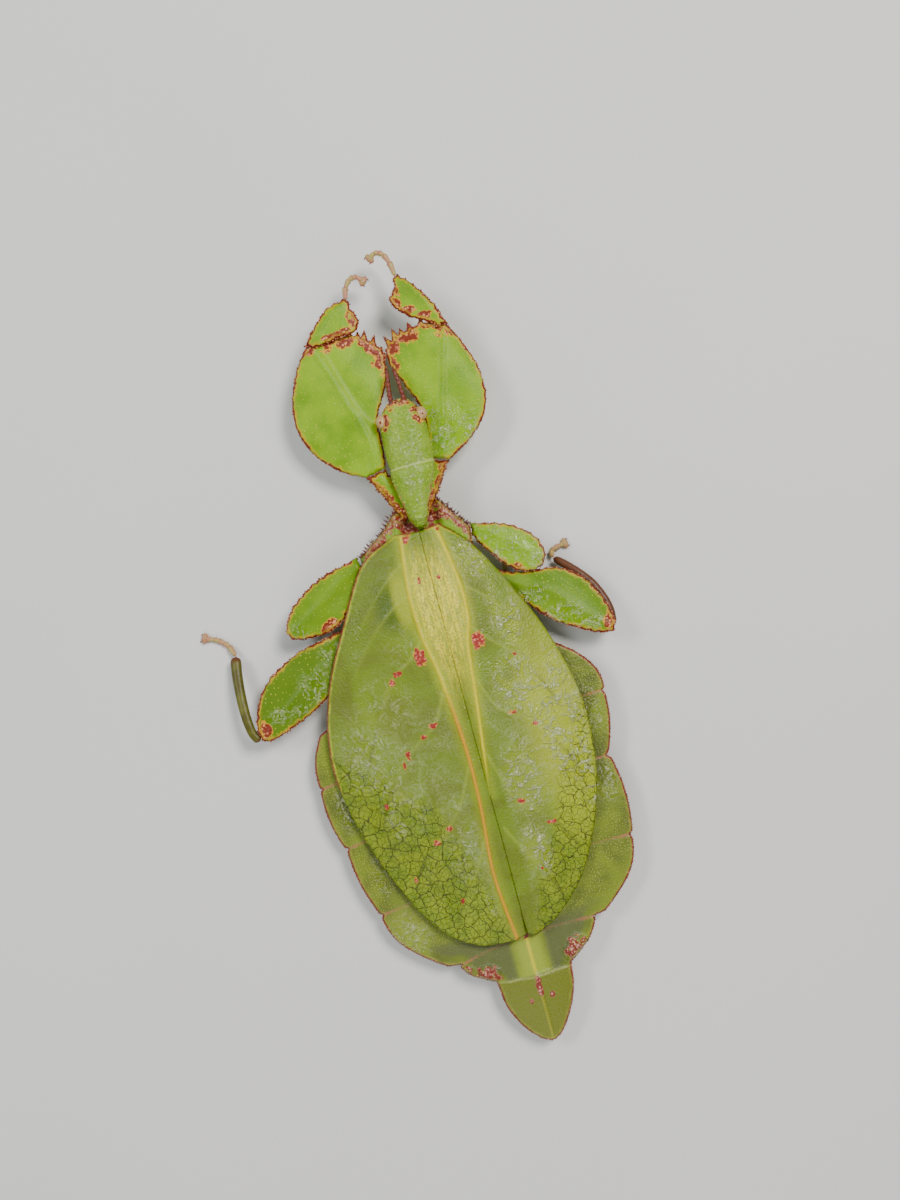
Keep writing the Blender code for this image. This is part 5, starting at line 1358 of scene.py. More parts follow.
class INSECT_OT_finishes(bpy.types.Operator):
    """Makes the skins and the Geometry Nodes trees that the pieces use"""

    bl_idname = "insect.make_finishes"
    bl_label = "Skins"

    def execute(self, context):
        paint = context.scene.insect_colours
        for make in (make_rim_group, make_blotch_group, make_dot_group, make_net_group, make_film_group):
            make()
        for make in (make_rim_grain_tree, make_skin_grain_tree, make_spine_tree):
            make()
        for make in (make_leg_finish, make_wing_finish, make_trunk_finish, make_head_finish, make_eye_finish):
            make(paint)
        two_tone_skins = (
            # name, two colours, size of the patches, roughness, shine and the joints' colour
            ("antenna_skin", paint.antenna_brown, paint.rim_red, 0.0008, 0.4, 0.5, paint.antenna_brown),
            ("foot_skin", paint.tarsus_yellow, paint.tarsus_pink, 0.0009, 0.42, 0.5, paint.foot_brown),
            ("claw_skin", paint.rim_red, paint.antenna_brown, 0.0006, 0.3, 0.5, None),
            ("tibia_skin", paint.tibia_olive, paint.tibia_green, 0.002, 0.4, 0.3, paint.antenna_brown),
            ("coxa_skin", paint.body_green, paint.abdomen_olive, 0.0015, 0.45, 0.3, None),
            ("mouth_skin", paint.head_green, paint.tibia_olive, 0.0009, 0.4, 0.3, paint.rim_red),
        )
        for skin in two_tone_skins:
            make_plain_finish(*skin)
        make_grain_finish("rim_grain_skin", paint.rim_red, paint.rim_pink)
        make_grain_finish("skin_grain_skin", paint.body_green, paint.dot_and_highlight_yellow)
        make_grain_finish("spine_skin", paint.antenna_brown, paint.rim_red)
        return {"FINISHED"}


def make_head():
    """The head with low brows and a dent between the antennae."""
    rows = [(*head_point(0, s, 0), half, up, down) for s, half, up, down in HEAD_RINGS]
    rings, angles = oval_rings(rows, count=70, sides=72, turn=HEAD_TURN)
    s_values = NECK[1] - rings[:, :, 1]
    lift = np.sin(angles)[None, :]
    across = rings[:, :, 0] - NECK[0]
    # a low brow on each side of the middle and a shallow dent between the antennae
    brow = 0.12 * np.exp(-((np.abs(across) - 1.5) / 0.8) ** 2) * soft(s_values, 3.5, 6.0)
    dent = 0.16 * np.exp(-(across / 0.7) ** 2) * soft(s_values, 5.5, 8.0)
    arch = 0.1 * np.exp(-((np.hypot(across, s_values - 3.2) - 2.4) / 0.35) ** 2)
    rings[:, :, 2] += np.maximum(lift, 0) * (brow - dent + arch - 0.1)
    front = soft(s_values, 6.9, 8.4)
    near_eye = np.hypot(s_values - EYE_PLACE[1], np.abs(across) - EYE_PLACE[0])
    flank = np.maximum(soft(np.abs(lift), 0.6, 0.0) * soft(s_values, 4.8, 7.2) * 0.8, front * 0.6)
    flank = np.maximum(flank, 0.75 * soft(near_eye, 1.9, 0.8))
    # painted highlight: a pale line along the groove at the neck; the front tip is paler too
    pale_and_highlight = 0.45 * np.exp(-((s_values + 0.1) / 0.14) ** 2) + 0.3 * soft(s_values, 7.9, 8.6)
    grainy = np.clip(0.25 + 0.75 * np.maximum(front, soft(np.abs(lift), 0.7, 0.2)), 0, 1)
    # wet zones, where glints are painted
    wet_glint = soft(np.abs(across), 2.9, 1.4) * (0.25 + 0.6 * soft(s_values, 4.5, 1.5))
    marks = {"flank": flank, "pale_and_highlight": np.clip(pale_and_highlight, 0, 1), "grainy": grainy, "wet_glint": wet_glint}
    head = rounded_piece("head_skin", rings, finish_of("head_skin"), marks)
    dress(head, "body_green", "head")


def make_pronotum():
    """The pronotum with its furrow, its collar and its rear folds."""
    rows = [(x, y, z, half, up, down) for x, y, half, up, down, z in PROTHORAX_RINGS]
    rings, angles = oval_rings(rows, count=60, sides=64, turn=HEAD_TURN * 0.5)
    y_values = rings[:, :, 1]
    lift = np.sin(angles)[None, :]
    middle_x = np.interp(y_values[:, 0], [-9, 0], [-1.78, -0.75])[:, None]
    across = rings[:, :, 0] - middle_x
    furrow = 0.1 * np.exp(-(across / 0.25) ** 2) * soft(y_values, -8.2, -6.5)
    collar = 0.12 * np.exp(-((y_values + 8.2) / 0.3) ** 2)
    folds = 0.05 * np.sin(y_values * 7.0) * soft(y_values, -4.0, -1.5)
    rings[:, :, 2] += np.maximum(lift, 0) * (folds - furrow - collar)
    flank = soft(np.abs(lift), 0.65, 0.1) * soft(y_values, -8.0, -3.5) * 0.85
    # painted highlight: a pale line just behind the collar groove
    pale_and_highlight = 0.6 * np.exp(-((y_values + 8.75) / 0.12) ** 2)
    grainy = np.clip(0.2 + 0.8 * soft(np.abs(lift), 0.75, 0.25), 0, 1)
    marks = {"flank": flank, "pale_and_highlight": pale_and_highlight, "grainy": grainy * np.ones_like(y_values),
             # wet zones, where glints are painted
             "wet_glint": 0.8 * soft(np.abs(across), 1.9, 0.8)}
    pronotum = rounded_piece("pronotum_skin", rings, finish_of("head_skin"), marks)
    dress(pronotum, "body_green", "prothorax")


def make_eye(side):
    out, s, rise = EYE_PLACE
    centre = head_point(side * out, s, rise)
    turns = np.linspace(0, 2 * math.pi, 36, endpoint=False)
    rings, flecks = [], []
    for tilt in np.linspace(-1.5, 1.5, 26):
        x = EYE_RADII[0] * math.cos(tilt) * np.cos(turns)
        z = EYE_RADII[2] * math.cos(tilt) * np.sin(turns)
        y = np.full(36, EYE_RADII[1] * math.sin(tilt))
        rings.append(np.stack([x, y, z], axis=1) + centre)
        top = np.hypot((x - side * 0.16) / 0.15, (y - 0.1) / 0.27) + (z < 0) * 9.0
        flecks.append(soft(top, 1.4, 0.6))
    eye = rounded_piece(f"eye_{WORDS[side]}_skin", rings, finish_of("eye_skin"), {"fleck": flecks})
    dress(eye, "eye_cream", f"eye_{WORDS[side]}")


def make_antenna(side):
    start = head_point(side * ANTENNA_ROOT[0], *ANTENNA_ROOT[1:]) - (0, -0.25, 0)
    end = head_point(side * ANTENNA_TIP[0], *ANTENNA_TIP[1:])
    count = 97
    share = np.linspace(0, 1, count)
    bow = np.array([side * 0.12, 0, 0.08])
    path = start + (end - start) * share[:, None] + bow * np.sin(math.pi * share)[:, None]
    bead = (share * 9) % 1
    radius = (0.37 - 0.14 * share) * (0.7 + 0.36 * np.sin(math.pi * bead) ** 0.6)
    radius[share < 0.12] *= 1.12
    radius *= np.clip((1 - share) * 16, 0.3, 1)
    joint = soft(np.abs(bead - 0.5), 0.36, 0.5) * 0.5 + 0.5 * soft(share, 0.88, 1.0)
    marks = {"joint": np.repeat(joint[:, None], 18, 1)}
    rings = path_rings(path, radius, radius, 18)
    antenna = rounded_piece(f"antenna_{WORDS[side]}_skin", rings, finish_of("antenna_skin"), marks)
    dress(antenna, "antenna_brown", f"antenna_{WORDS[side]}")


def make_mouth():
    """Upper lip, jaws and palps under the head."""
    skin = finish_of("mouth_skin")
    pieces = []

    def lump(places, wide, high, joint):
        count = 18
        path = smooth_path([head_point(*place_at) for place_at in places], count)
        share = np.linspace(0, 1, count)
        shape = np.sqrt(np.clip(1 - (2 * share - 1) ** 4, 0.02, 1))
        marks = {"joint": np.full((count, 16), joint)}
        rings = path_rings(path, wide * shape, high * shape, 16)
        pieces.append(rounded_piece("mouth_part", rings, skin, marks))

    lump([(0, 5.6, -2.3), (0, 6.6, -2.4), (0, 7.5, -2.2)], 1.05, 0.7, 0.0)
    jaw = ((0.95, 5.8, -2.3), (0.85, 6.7, -2.6), (0.3, 7.35, -2.6))
    outer_palp = ((0.95, 5.5, -2.5), (1.2, 6.3, -2.75), (1.3, 6.8, -2.85))
    inner_palp = ((0.45, 6.5, -2.65), (0.7, 7.2, -2.85), (0.8, 7.85, -2.9))
    for side in SIDES:
        lump(sided(jaw, side), 0.32, 0.34, 0.45)
        lump(sided(outer_palp, side), 0.2, 0.2, 0.2)
        lump(sided(inner_palp, side), 0.19, 0.19, 0.2)
    mouth = join("mouth_skin", pieces)
    dress(mouth, "body_green", "mouthparts")


class INSECT_OT_head(bpy.types.Operator):
    """Makes the head, eyes, antennae, mouthparts and pronotum"""

    bl_idname = "insect.make_head"
    bl_label = "Head and pronotum"

    def execute(self, context):
        make_head()
        make_pronotum()
        for side in SIDES:
            make_eye(side)
            make_antenna(side)
        make_mouth()
        return {"FINISHED"}


def trunk_side(side):
    """The trunk's rim from the shoulder to the tip on one side, and its notches."""
    line = list(WAIST[side]) + list(ABDOMEN_FRONT[side])
    notches = []
    for lobe in LOBES:
        first, last, start, end, bulge = lobe[0 if side == LEFT else 1]
        if notches or lobe is not LOBES[0]:
            notches.append((min(start, line[-1][0]) - 0.35, (line[-1][1] + first) / 2))
            line.append(notches[-1])
        for t in np.linspace(0.01, 0.99, 28):
            rim = start + (end - start) * t + bulge * math.sin(math.pi * t)
            corner = 0.1 * (soft(t, 0.06, 0.0) + soft(t, 0.94, 1.0))
            line.append((rim - corner, first + (last - first) * t))
    line += [tuple(point) for point in smooth_path(TIP_EDGE[side], 24)]
    return sided(line, side), sided(notches, side)


def trunk_surfaces(points, front):
    """Heights of the trunk's back and belly; front is the shoulders' front rim."""
    half_left, half_right = tegmen_half_width(LEFT), tegmen_half_width(RIGHT)
    x, y = points[:, 0], points[:, 1]
    out = np.abs(x)
    core = core_half_width(y)
    share = np.minimum(out / core, 1.0)
    sheet = LOBE_Z - 0.25 * np.maximum(out - core, 0) / 12
    back = sheet + SHEET / 2 + (back_z(y) - sheet - SHEET / 2) * (1 - share ** 2)
    deep = np.where(out <= 1.2, 1.0, 1 - share ** 2.4)
    belly = sheet - SHEET / 2 + (belly_z(y) - sheet + SHEET / 2) * deep
    back = np.where(share >= 1, sheet + SHEET / 2, back)
    belly = np.where(share >= 1, sheet - SHEET / 2, belly)
    # the last shield
    tail = soft(y, 62.6, 63.6)
    along = np.clip((y - 63.3) / 9.7, 0, 1)
    half = np.interp(y, [63, 66.6, 69.8, 72.1, 73], [5.4, 5.0, 3.6, 1.8, 0.4])
    swell = (1 - np.minimum(out / half, 1) ** 2) * (1 - along ** 2)
    tail_z = LOBE_Z - 0.5 * along
    back = between(back, tail_z + SHEET / 2 + 0.48 * swell, tail)
    belly = between(belly, tail_z - SHEET / 2 - 1.45 * swell, tail)
    # the thorax under the wing covers
    waist = np.minimum(out / 7.8, 1.05)
    mix = soft(y, 14.8, 17.5)
    back = between(6.05 - 2.4 * waist ** 2, back, mix)
    belly = between(0.55 + 2.0 * waist ** 3, belly, mix)
    reach = np.minimum(out / 8.5, 1.05)
    shoulder_back = np.minimum(6.2 - 1.5 * reach ** 2, cover_z(points) + 0.15)
    mix = soft(y, 7.4, 9.2)
    back = between(shoulder_back, back, mix)
    belly = between(0.95 + 2.9 * reach ** 1.5, belly, mix)
    half = np.where(x >= 0, half_left(y), half_right(y))
    under = soft(half - out, -0.1, 0.25) * soft(y, 0.0, 0.9)
    roof = cover_z(points) - SHEET / 2 - 0.32
    back = np.where(under > 0, np.minimum(back, back + (roof - back) * under), back)
    # the prothorax sits in the notch between the shoulders
    rim_y = np.interp(-x, -front[:, 0], front[:, 1])
    behind = y - rim_y
    belly += 0.8 * (1 - np.minimum(reach, 1)) * soft(behind, 1.6, 0.0) * soft(y, 6.0, 2.0)
    back -= 0.3 * soft(behind, 1.4, 0.0) * soft(y, 6.0, 3.0)
    tongue = soft(np.abs(x + 0.75), 3.4, 2.0) * soft(y, 1.5, -0.8)
    back -= (back - 4.15) * tongue
    belly += (3.55 - belly) * tongue * soft(y, 0.5, -1.5)
    return np.maximum(back, belly + 0.2), belly


def trunk_seams(left_notches, right_notches):
    """Lines over the back from each notch to the one on the other side."""
    seam_lines = []
    for (left_x, left_y), (right_x, right_y) in zip(left_notches, right_notches):
        middle_y = (left_y + right_y) / 2 - 0.8
        seam_lines.append(smooth_path([
            (left_x, left_y), (left_x * 0.55, (left_y + middle_y) / 2 - 0.2), (0.0, middle_y),
            (right_x * 0.55, (right_y + middle_y) / 2 - 0.2), (right_x, right_y)], 21))
    return seam_lines


def trunk_shape(points, edge, front, seam_lines):
    """Heights of the trunk's back and belly with their finer forms, and its masks."""
    x, y = points[:, 0], points[:, 1]
    out = np.abs(x)
    back, belly = trunk_surfaces(points, front)
    seam = np.zeros(len(points))
    groove = np.zeros(len(points))
    for line in seam_lines:
        gap, _ = nearest(points, line)
        rim_part = soft(edge, 3.2, 0.6)
        seam = np.maximum(seam, soft(gap, 0.2, 0.06) * (0.3 + 0.7 * rim_part))
        groove = np.maximum(groove, soft(gap, 0.3, 0.05))
    back = back - 0.07 * groove
    belly = belly + 0.05 * groove * soft(out, 1.3, 1.8)
    ridge = np.exp(-(x / 0.3) ** 2) * soft(y, 56.5, 57.5)
    back = back + 0.1 * ridge * soft(y, 72.5, 70.0)
    neck = soft(y, 54.5, 57.0) * soft(y, 63.3, 62.8)
    shield_front = [(5.2, 63.0), (2.0, 63.25), (0, 63.35), (-2.0, 63.25), (-4.9, 63.1)]
    cross_line, _ = nearest(points, shield_front)
    lobes = soft(y, 17, 21) * soft(y, 62, 60)
    curl = patches(points, ((6.7, 61.8, 1.9, 1.35), (9.4, 60.2, 1.0, 0.5)), LEFT)
    curl = np.maximum(curl, patches(points, ((6.5, 61.3, 1.7, 1.7),), RIGHT))
    back = back + 1.0 * curl * (0.7 + 0.3 * np.sin(x * 4.1) * np.sin(y * 3.7)) * soft(edge, 0.0, 0.6)
    notch = 0.8 * soft(np.hypot((x + 0.75) / 3.2, (y + 1.4) / 1.7), 1.4, 0.6)
    shoulder = soft(y, 6.0, 2.0)
    left_spots = ((1.5, 66.3, 0.35, 0.5), (0.0, 64.7, 0.4, 1.4))
    right_spots = ((1.4, 66.3, 0.35, 0.5), (0.0, 57.6, 0.3, 0.4))
    spots = np.maximum(patches(points, left_spots, LEFT), patches(points, right_spots, RIGHT))
    margin = soft(edge, 1.8, 0.1) * soft(y, 4.0, 1.5)
    marks = {
        "seam": seam * soft(y, 18, 22),
        "grey": neck * soft(out, 2.1, 2.6) * soft(edge, 0.9, 1.8) * 0.9,
        "shoulder": shoulder,
        "tail": soft(y, 62.9, 63.3),
        "ridge": neck * soft(out, 3.1, 0.9) * 0.9
        + 0.45 * patches(points, ((15.8, 53.5, 3.0, 4.0),), LEFT) * (1 - neck),
        "speckle": lobes * soft(edge, 0.2, 0.6) * (1 - neck * 0.7),
        "midline": np.exp(-(x / (0.22 - 0.12 * soft(y, 63, 66))) ** 2)
        * soft(y, 57.0, 57.4) * soft(y, 73, 72) * np.where(y > 62.6, 0.4, 0.9),
        "cross": soft(cross_line, 0.15, 0.05) * 0.35 * soft(edge, 0.2, 0.6),
        "front": np.maximum.reduce([curl, margin, spots * 0.9, notch]),
        # wet zones, where glints are painted; the fourth left lobe gets a fainter share
        "wet_glint": patches(points, ((19.3, 34.5, 1.2, 3.0), (17.0, 44.5, 1.0, 2.5)), LEFT)
        + 0.6 * patches(points, ((15.5, 54.0, 2.6, 3.6),), LEFT)
        + patches(points, ((16.8, 29.5, 1.2, 3.0), (16.0, 40.0, 1.6, 2.5)), RIGHT),
        "grainy": np.maximum(shoulder * soft(edge, 2.6, 0.6), curl * 0.8),
    }
    return back, belly, marks


def make_trunk():
    """The trunk's one skin; it has fewer points where the wing covers hide it."""
    left_line, left_notches = trunk_side(LEFT)
    right_line, right_notches = trunk_side(RIGHT)
    front = smooth_path(SHOULDER_EDGE, 60)
    raw = np.vstack([front, np.array(right_line), np.array(left_line)[::-1]])
    outline = ragged(spaced(raw, BODY_RIM_STEP, closed=True), depth=0.13, pitch=0.4, seed=SEED + 3)
    half_left, half_right = tegmen_half_width(LEFT), tegmen_half_width(RIGHT)

    def hidden(x, y):
        half = half_left(y) if x >= 0 else half_right(y)
        return 2.5 < y < 54.5 and abs(x) < half - 1.6

    seam_lines = trunk_seams(left_notches, right_notches)

    def shape(points, edge):
        return trunk_shape(points, edge, front, seam_lines)

    trunk = leaf_piece("trunk_skin", outline, 0.24, shape, finish_of("trunk_skin"), coarse=hidden)
    dress(trunk, "olive_green", "mesothorax", "metathorax", "abdomen", "abdomen_tip")

    def height(points):
        back, belly = trunk_surfaces(points, front)
        return (back + belly) / 2

    rim = rim_of(outline, height)
    rim_lines["trunk"].append(rim[rim[:, 1] > 17.0])


def make_cerci():
    for side in SIDES:
        places = ((2.15, 65.9, 1.35), (2.2, 66.9, 1.3), (2.1, 68.15, 1.4))
        count = 24
        share = np.linspace(0, 1, count)
        wide = 0.5 * np.sqrt(np.clip(1 - (2 * share - 1) ** 2, 0.02, 1))
        path = smooth_path(sided(places, side), count)
        rings = path_rings(path, wide, wide * 0.5, 16)
        cercus = rounded_piece(f"cercus_{WORDS[side]}_skin", rings, finish_of("coxa_skin"))
        dress(cercus, "olive_green", f"cercus_{WORDS[side]}")


class INSECT_OT_trunk(bpy.types.Operator):
    """Makes one skin over shoulders, thorax, lobed abdomen and last shield"""

    bl_idname = "insect.make_trunk"
    bl_label = "Trunk and abdomen"

    def execute(self, context):
        make_trunk()
        make_cerci()
        return {"FINISHED"}


def make_cover(side, sizes):
    """One wing cover: a domed sheet with raised veins, a folded panel and sunken fields."""
    edge_line = smooth_path(TEGMEN_EDGE[side], 260)
    edge_line = edge_line * (side, 1)
    seam_out = -0.35 if side == LEFT else 0.0
    seam_path = [(seam_out + 0.25, 57.0), (seam_out, 52.0), (seam_out, 36.0), (seam_out, 0.2)]
    seam_line = smooth_path(sided(seam_path, side), 160)
    outline = spaced(np.vstack([edge_line, seam_line]), BODY_RIM_STEP, closed=True)
    outline = ragged(outline, depth=0.05, pitch=0.4, seed=SEED + side)
    main_line = smooth_path(sided(MAIN_VEIN[side], side), 120)
    side_lines = [smooth_path(sided(vein, side), 40) for vein in SIDE_VEINS[side]]
    rise = sizes.vein_rise / MM

    def shape(points, edge):
        x, y = points[:, 0], points[:, 1]
        out = side * x
        z = cover_z(np.column_stack([side * np.abs(x), y]))
        main_gap, _ = nearest(points, main_line)
        fade = soft(y, 57.5, 54.0)
        wide = 0.23 - 0.04 * soft(y, 20, 40)
        main = np.exp(-(main_gap / wide) ** 2)
        side_gap = np.full(len(points), FAR)
        side_share = np.zeros(len(points))
        for line in side_lines:
            gap, share = nearest(points, line)
            closer = gap < side_gap
            side_gap[closer] = gap[closer]
            side_share[closer] = share[closer]
        side_ridge = np.exp(-(side_gap / 0.22) ** 2) * soft(side_share, 1.0, 0.8)
        sag = 0.14 * soft(side_gap, 0.3, 2.2) * soft(edge, 0.5, 2.0) * soft(out, 2.5, 4.0)
        inner = soft(main_gap, 0.2, 0.5) * soft(out, 0.1, 0.6)
        vein_out = np.interp(y, main_line[:, 1], side * main_line[:, 0])
        panel = soft(vein_out - out, -0.1, 0.35) * soft(y, 33.0, 20.0)
        # two low folds run down the panel
        folds = 0.06 * np.cos(out * 2 * math.pi / np.maximum(vein_out, 0.8) * 1.5) * panel * inner
        lift = rise * main * fade + 0.07 * side_ridge - sag + 0.22 * panel * soft(y, 28.0, 14.0) + folds
        lift += 0.05 * np.sin(x * 0.9 + y * 0.55) * soft(np.minimum(edge, out), 0.5, 2.5)
        if side == RIGHT:
            lift -= 0.1 * soft(out, 0.9, 0.45)
        upper = z + SHEET / 2 + lift
        lower = z - SHEET / 2 + 0.5 * np.minimum(lift, 0)
        if side == LEFT:
            lower += (upper - 0.06 - lower) * soft(out, 0.7, 0.3)
        rear = soft(y, 22.0, 32.0)
        net_from = np.interp(y, (27, 33, 37, 44, 50, 57), NET_FROM[side])
        net = soft(out, net_from - 1.0, net_from + 1.2)
        orange = main * soft(y, 21.0, 27.0) if side == LEFT else np.zeros(len(points))
        yellow = main * (1 - soft(y, 21.0, 27.0)) if side == LEFT else main * soft(y, 37, 30)
        dark_part = soft(side_share, 0.52, 0.75) * soft(y, 17.0, 24.0)
        # zones of the wet film: lower roughness, painted glints and a painted lighter reflection
        wet_glint_zones = {
            LEFT: ((13.0, 29.0, 4.2, 6.5), (10.5, 22.5, 3.4, 4.2), (11.5, 35.5, 3.4, 4.2),
                   (6.5, 14.5, 2.2, 2.6), (5.0, 43.0, 2.4, 6.0), (3.3, 52.0, 0.6, 2.0)),
            RIGHT: ((12.0, 29.0, 3.2, 8.0), (8.0, 23.5, 3.2, 4.0), (8.8, 13.5, 2.0, 4.6),
                    (6.5, 5.0, 2.2, 3.0), (14.2, 37.5, 1.2, 5.0), (5.4, 36.0, 2.4, 4.6),
                    (4.6, 46.0, 1.7, 3.2)),
        }[side]
        smooth_zones = {
            LEFT: ((15.6, 36.0, 1.4, 3.4),),
            RIGHT: ((7.2, 21.8, 1.1, 1.1), (11.4, 19.5, 1.0, 4.6), (9.0, 10.5, 1.0, 2.4)),
        }[side]
        wet_glint = patches(points, wet_glint_zones, side) * (1 - patches(points, smooth_zones, side))
        wet_glint *= np.where(out > 12.0, 0.6, 0.32) if side == LEFT else 1.25
        if side == LEFT:
            vein_glow_and_sheen = patches(points, ((4.6, 8.5, 1.0, 3.6),), side)
            shade = patches(points, ((6.3, 9.5, 1.8, 3.2),), side)
            shade += soft(vein_out - out, -0.3, 0.1) * soft(y, 31, 36) * 0.1
        else:
            # painted reflection: lightens the right cover's outer field
            vein_glow_and_sheen = 0.85 * patches(points, ((12.0, 31.0, 4.5, 15.0),), side)
            shade = 0.3 * patches(points, ((1.6, 30.0, 0.7, 9.0),), side)
        marks = {
            "main_vein": np.clip(yellow * 1.1, 0, 1),
            "orange_vein": np.clip(orange * 1.1, 0, 1),
            "side_vein": side_ridge * (1 - dark_part) * (0.35 + 0.65 * soft(side_share, 0.6, 0.1)),
            "dark_vein": side_ridge * dark_part,
            "panel": panel * soft(y, 28.0, 12.0) * soft(y, 0.0, 7.0) * (0.55 + 0.45 * soft(
                vein_out - out, 0.2, 1.2)),
            "vein_glow_and_sheen": np.clip(soft(main_gap, 1.6, 0.2) * (1 - 0.5 * rear) * 0.7 + vein_glow_and_sheen, 0, 1),
            "shade": np.clip(shade, 0, 1),
            "net": net,
            # painted sheen zone between the main vein and the net
            "sheen_veil": soft(out, 1.8, 3.0) * (1 - net) * soft(y, 18.0, 28.0),
            "blotch": patches(points, BLOTCHES[side], side),
            "wet_glint": wet_glint,
            "rim_plain": 0.9 * (soft(y, 30.0, 36.0) if side == LEFT else soft(y, 0.0, 6.0))
            + 0.9 * soft(np.abs(out - seam_out), 1.4, 0.6),
        }
        return upper, lower, marks

    name = f"tegmen_{WORDS[side]}"
    cover = leaf_piece(f"{name}_skin", outline, sizes.mesh_step / MM, shape, finish_of("wing_cover"))
    dress(cover, "tegmen_green", name)
    if side == LEFT:
        rim = np.column_stack([edge_line, cover_z(edge_line)])
        rim_lines["wing"].append(rim[(rim[:, 1] > 2.0) & (rim[:, 1] < 31.0)])


class INSECT_OT_wing_covers(bpy.types.Operator):
    """Makes the two veined wing covers, the left one lying over the right"""

    bl_idname = "insect.make_wing_covers"
    bl_label = "Wing covers"

    def execute(self, context):
        sizes = context.scene.insect_sizes
        for side in SIDES:
            make_cover(side, sizes)
        return {"FINISHED"}


class INSECT_OT_fore_legs(bpy.types.Operator):
    """Makes the broad toothed forelegs"""

    bl_idname = "insect.make_fore_legs"
    bl_label = "Forelegs"

    def execute(self, context):
        step = context.scene.insect_sizes.mesh_step / MM
        tooth = context.scene.insect_sizes.rim_tooth / MM
        # wet zones on the legs, where glints are painted
        wet_glint = {LEFT: (), RIGHT: ((9.0, -12.5, 3.2, 3.0), (6.2, -14.5, 0.8, 2.0), (6.2, -11.0, 1.4, 1.8))}
        for number, side in enumerate(SIDES):
            word = WORDS[side]
            seed = SEED + 20 + number
            strip = smooth_path([outer for outer, _, _ in FORE_COXA[side]], 9)
            outer_reds = [(out - 0.1, y + 0.1, 0.9, 1.2) for out, y in strip]
            lobed_piece(f"fore_coxa_{word}", FORE_COXA[side], side, FORE_COXA_Z, shaft=(1.8, 1.5),
                        edge_drop=0.4, step=step, seed=seed, tooth=0.3, reds=outer_reds, line=0.4)
            lobed_piece(f"fore_femur_{word}", FORE_FEMUR[side], side, FORE_FEMUR_Z, shaft=(1.3, 0.85),
                        edge_drop=0.6, step=step, seed=seed + 2, front_teeth=True, wet_glint=wet_glint[side],
                        tooth=tooth * 0.8, line=0.5, fold=FORE_FOLD if side == LEFT else None)
            lobed_piece(f"fore_tibia_{word}", FORE_TIBIA[side], side, FORE_TIBIA_Z, shaft=(1.05, 0.65),
                        edge_drop=0.3, step=step, seed=seed + 4, tooth=tooth * 1.4,
                        reds=TIBIA_REDS[side], line=0.4, plain_root=False)
            tarsus_piece(f"fore_tarsus_{word}", FORE_TARSUS[side], side, on_floor=False)
        return {"FINISHED"}


class INSECT_OT_walking_legs(bpy.types.Operator):
    """Makes the middle and hind legs that stand on the floor"""

    bl_idname = "insect.make_walking_legs"
    bl_label = "Middle and hind legs"

    def execute(self, context):
        sizes = context.scene.insect_sizes
        step, tooth = sizes.mesh_step / MM, sizes.rim_tooth / MM
        shapes = {
            "mid": (MID_COXA, MID_FEMUR, MID_FEMUR_Z, MID_TIBIA, MID_TARSUS),
            "hind": (HIND_COXA, HIND_FEMUR, HIND_FEMUR_Z, HIND_TIBIA, HIND_TARSUS),
        }
        tibia_widths = {"mid": (0.6, 0.58, 0.5), "hind": (0.5, 0.66, 0.55)}
        reds = {("mid", LEFT): ((15.0, 9.7, 1.3, 1.3),), ("mid", RIGHT): ((12.4, 8.4, 0.9, 0.8),),
                ("hind", LEFT): ((27.6, 20.9, 1.3, 1.4),), ("hind", RIGHT): ((22.8, 18.6, 1.1, 1.3),)}
        deep = {("mid", LEFT): 0.45, ("mid", RIGHT): 0.0, ("hind", LEFT): 0.85, ("hind", RIGHT): 0.55}
        # wet zones on the legs, where glints are painted
        wet_glint = {
            ("mid", LEFT): ((19.2, 9.3, 1.0, 1.2),),
            ("mid", RIGHT): ((9.6, 2.8, 2.0, 1.6), (12.2, 5.2, 3.2, 2.2), (14.2, 7.4, 1.8, 1.8)),
            ("hind", LEFT): ((14.5, 13.5, 2.6, 2.0), (19.0, 16.8, 2.0, 2.0), (23.6, 19.5, 2.6, 1.0)),
            ("hind", RIGHT): ((13.0, 12.6, 2.0, 1.4), (16.6, 16.2, 2.6, 1.5), (19.5, 18.2, 2.0, 1.0)),
        }
        for rank, (coxa_at, femur_at, heights, tibia_at, tarsus_at) in shapes.items():
            for number, side in enumerate(SIDES):
                word = WORDS[side]
                widths = (0.58, 0.7, 0.78) if (rank, side) == ("hind", LEFT) else tibia_widths[rank]
                seed = SEED + (40 if rank == "mid" else 60) + number
                tube_piece(f"{rank}_coxa_{word}", "body_green", coxa_at[side], side, (1.45, 1.3, 0.8),
                           (1.45, 1.3, 0.8), 30, "coxa_skin")
                lobed_piece(f"{rank}_femur_{word}", femur_at[side], side, heights, shaft=(1.5, 0.85),
                            edge_drop=0.7, step=step, seed=seed, wet_glint=wet_glint[rank, side], tooth=tooth * 1.3,
                            reds=reds[rank, side], deep=deep[rank, side], line=0.12)
                count = 50
                share = np.linspace(0, 1, count)
                ends = np.maximum(soft(share, 0.88, 1.0), 0.6 * soft(share, 0.08, 0.0))
                if rank == "hind" and side == RIGHT:
                    ends = np.maximum(ends, 0.8)
                tube_piece(f"{rank}_tibia_{word}", "olive_green", tibia_at[side], side, widths,
                           [0.8 * width for width in widths], count, "tibia_skin",
                           marks={"joint": ends})
                tarsus_piece(f"{rank}_tarsus_{word}", tarsus_at[side], side, on_floor=True)
        return {"FINISHED"}


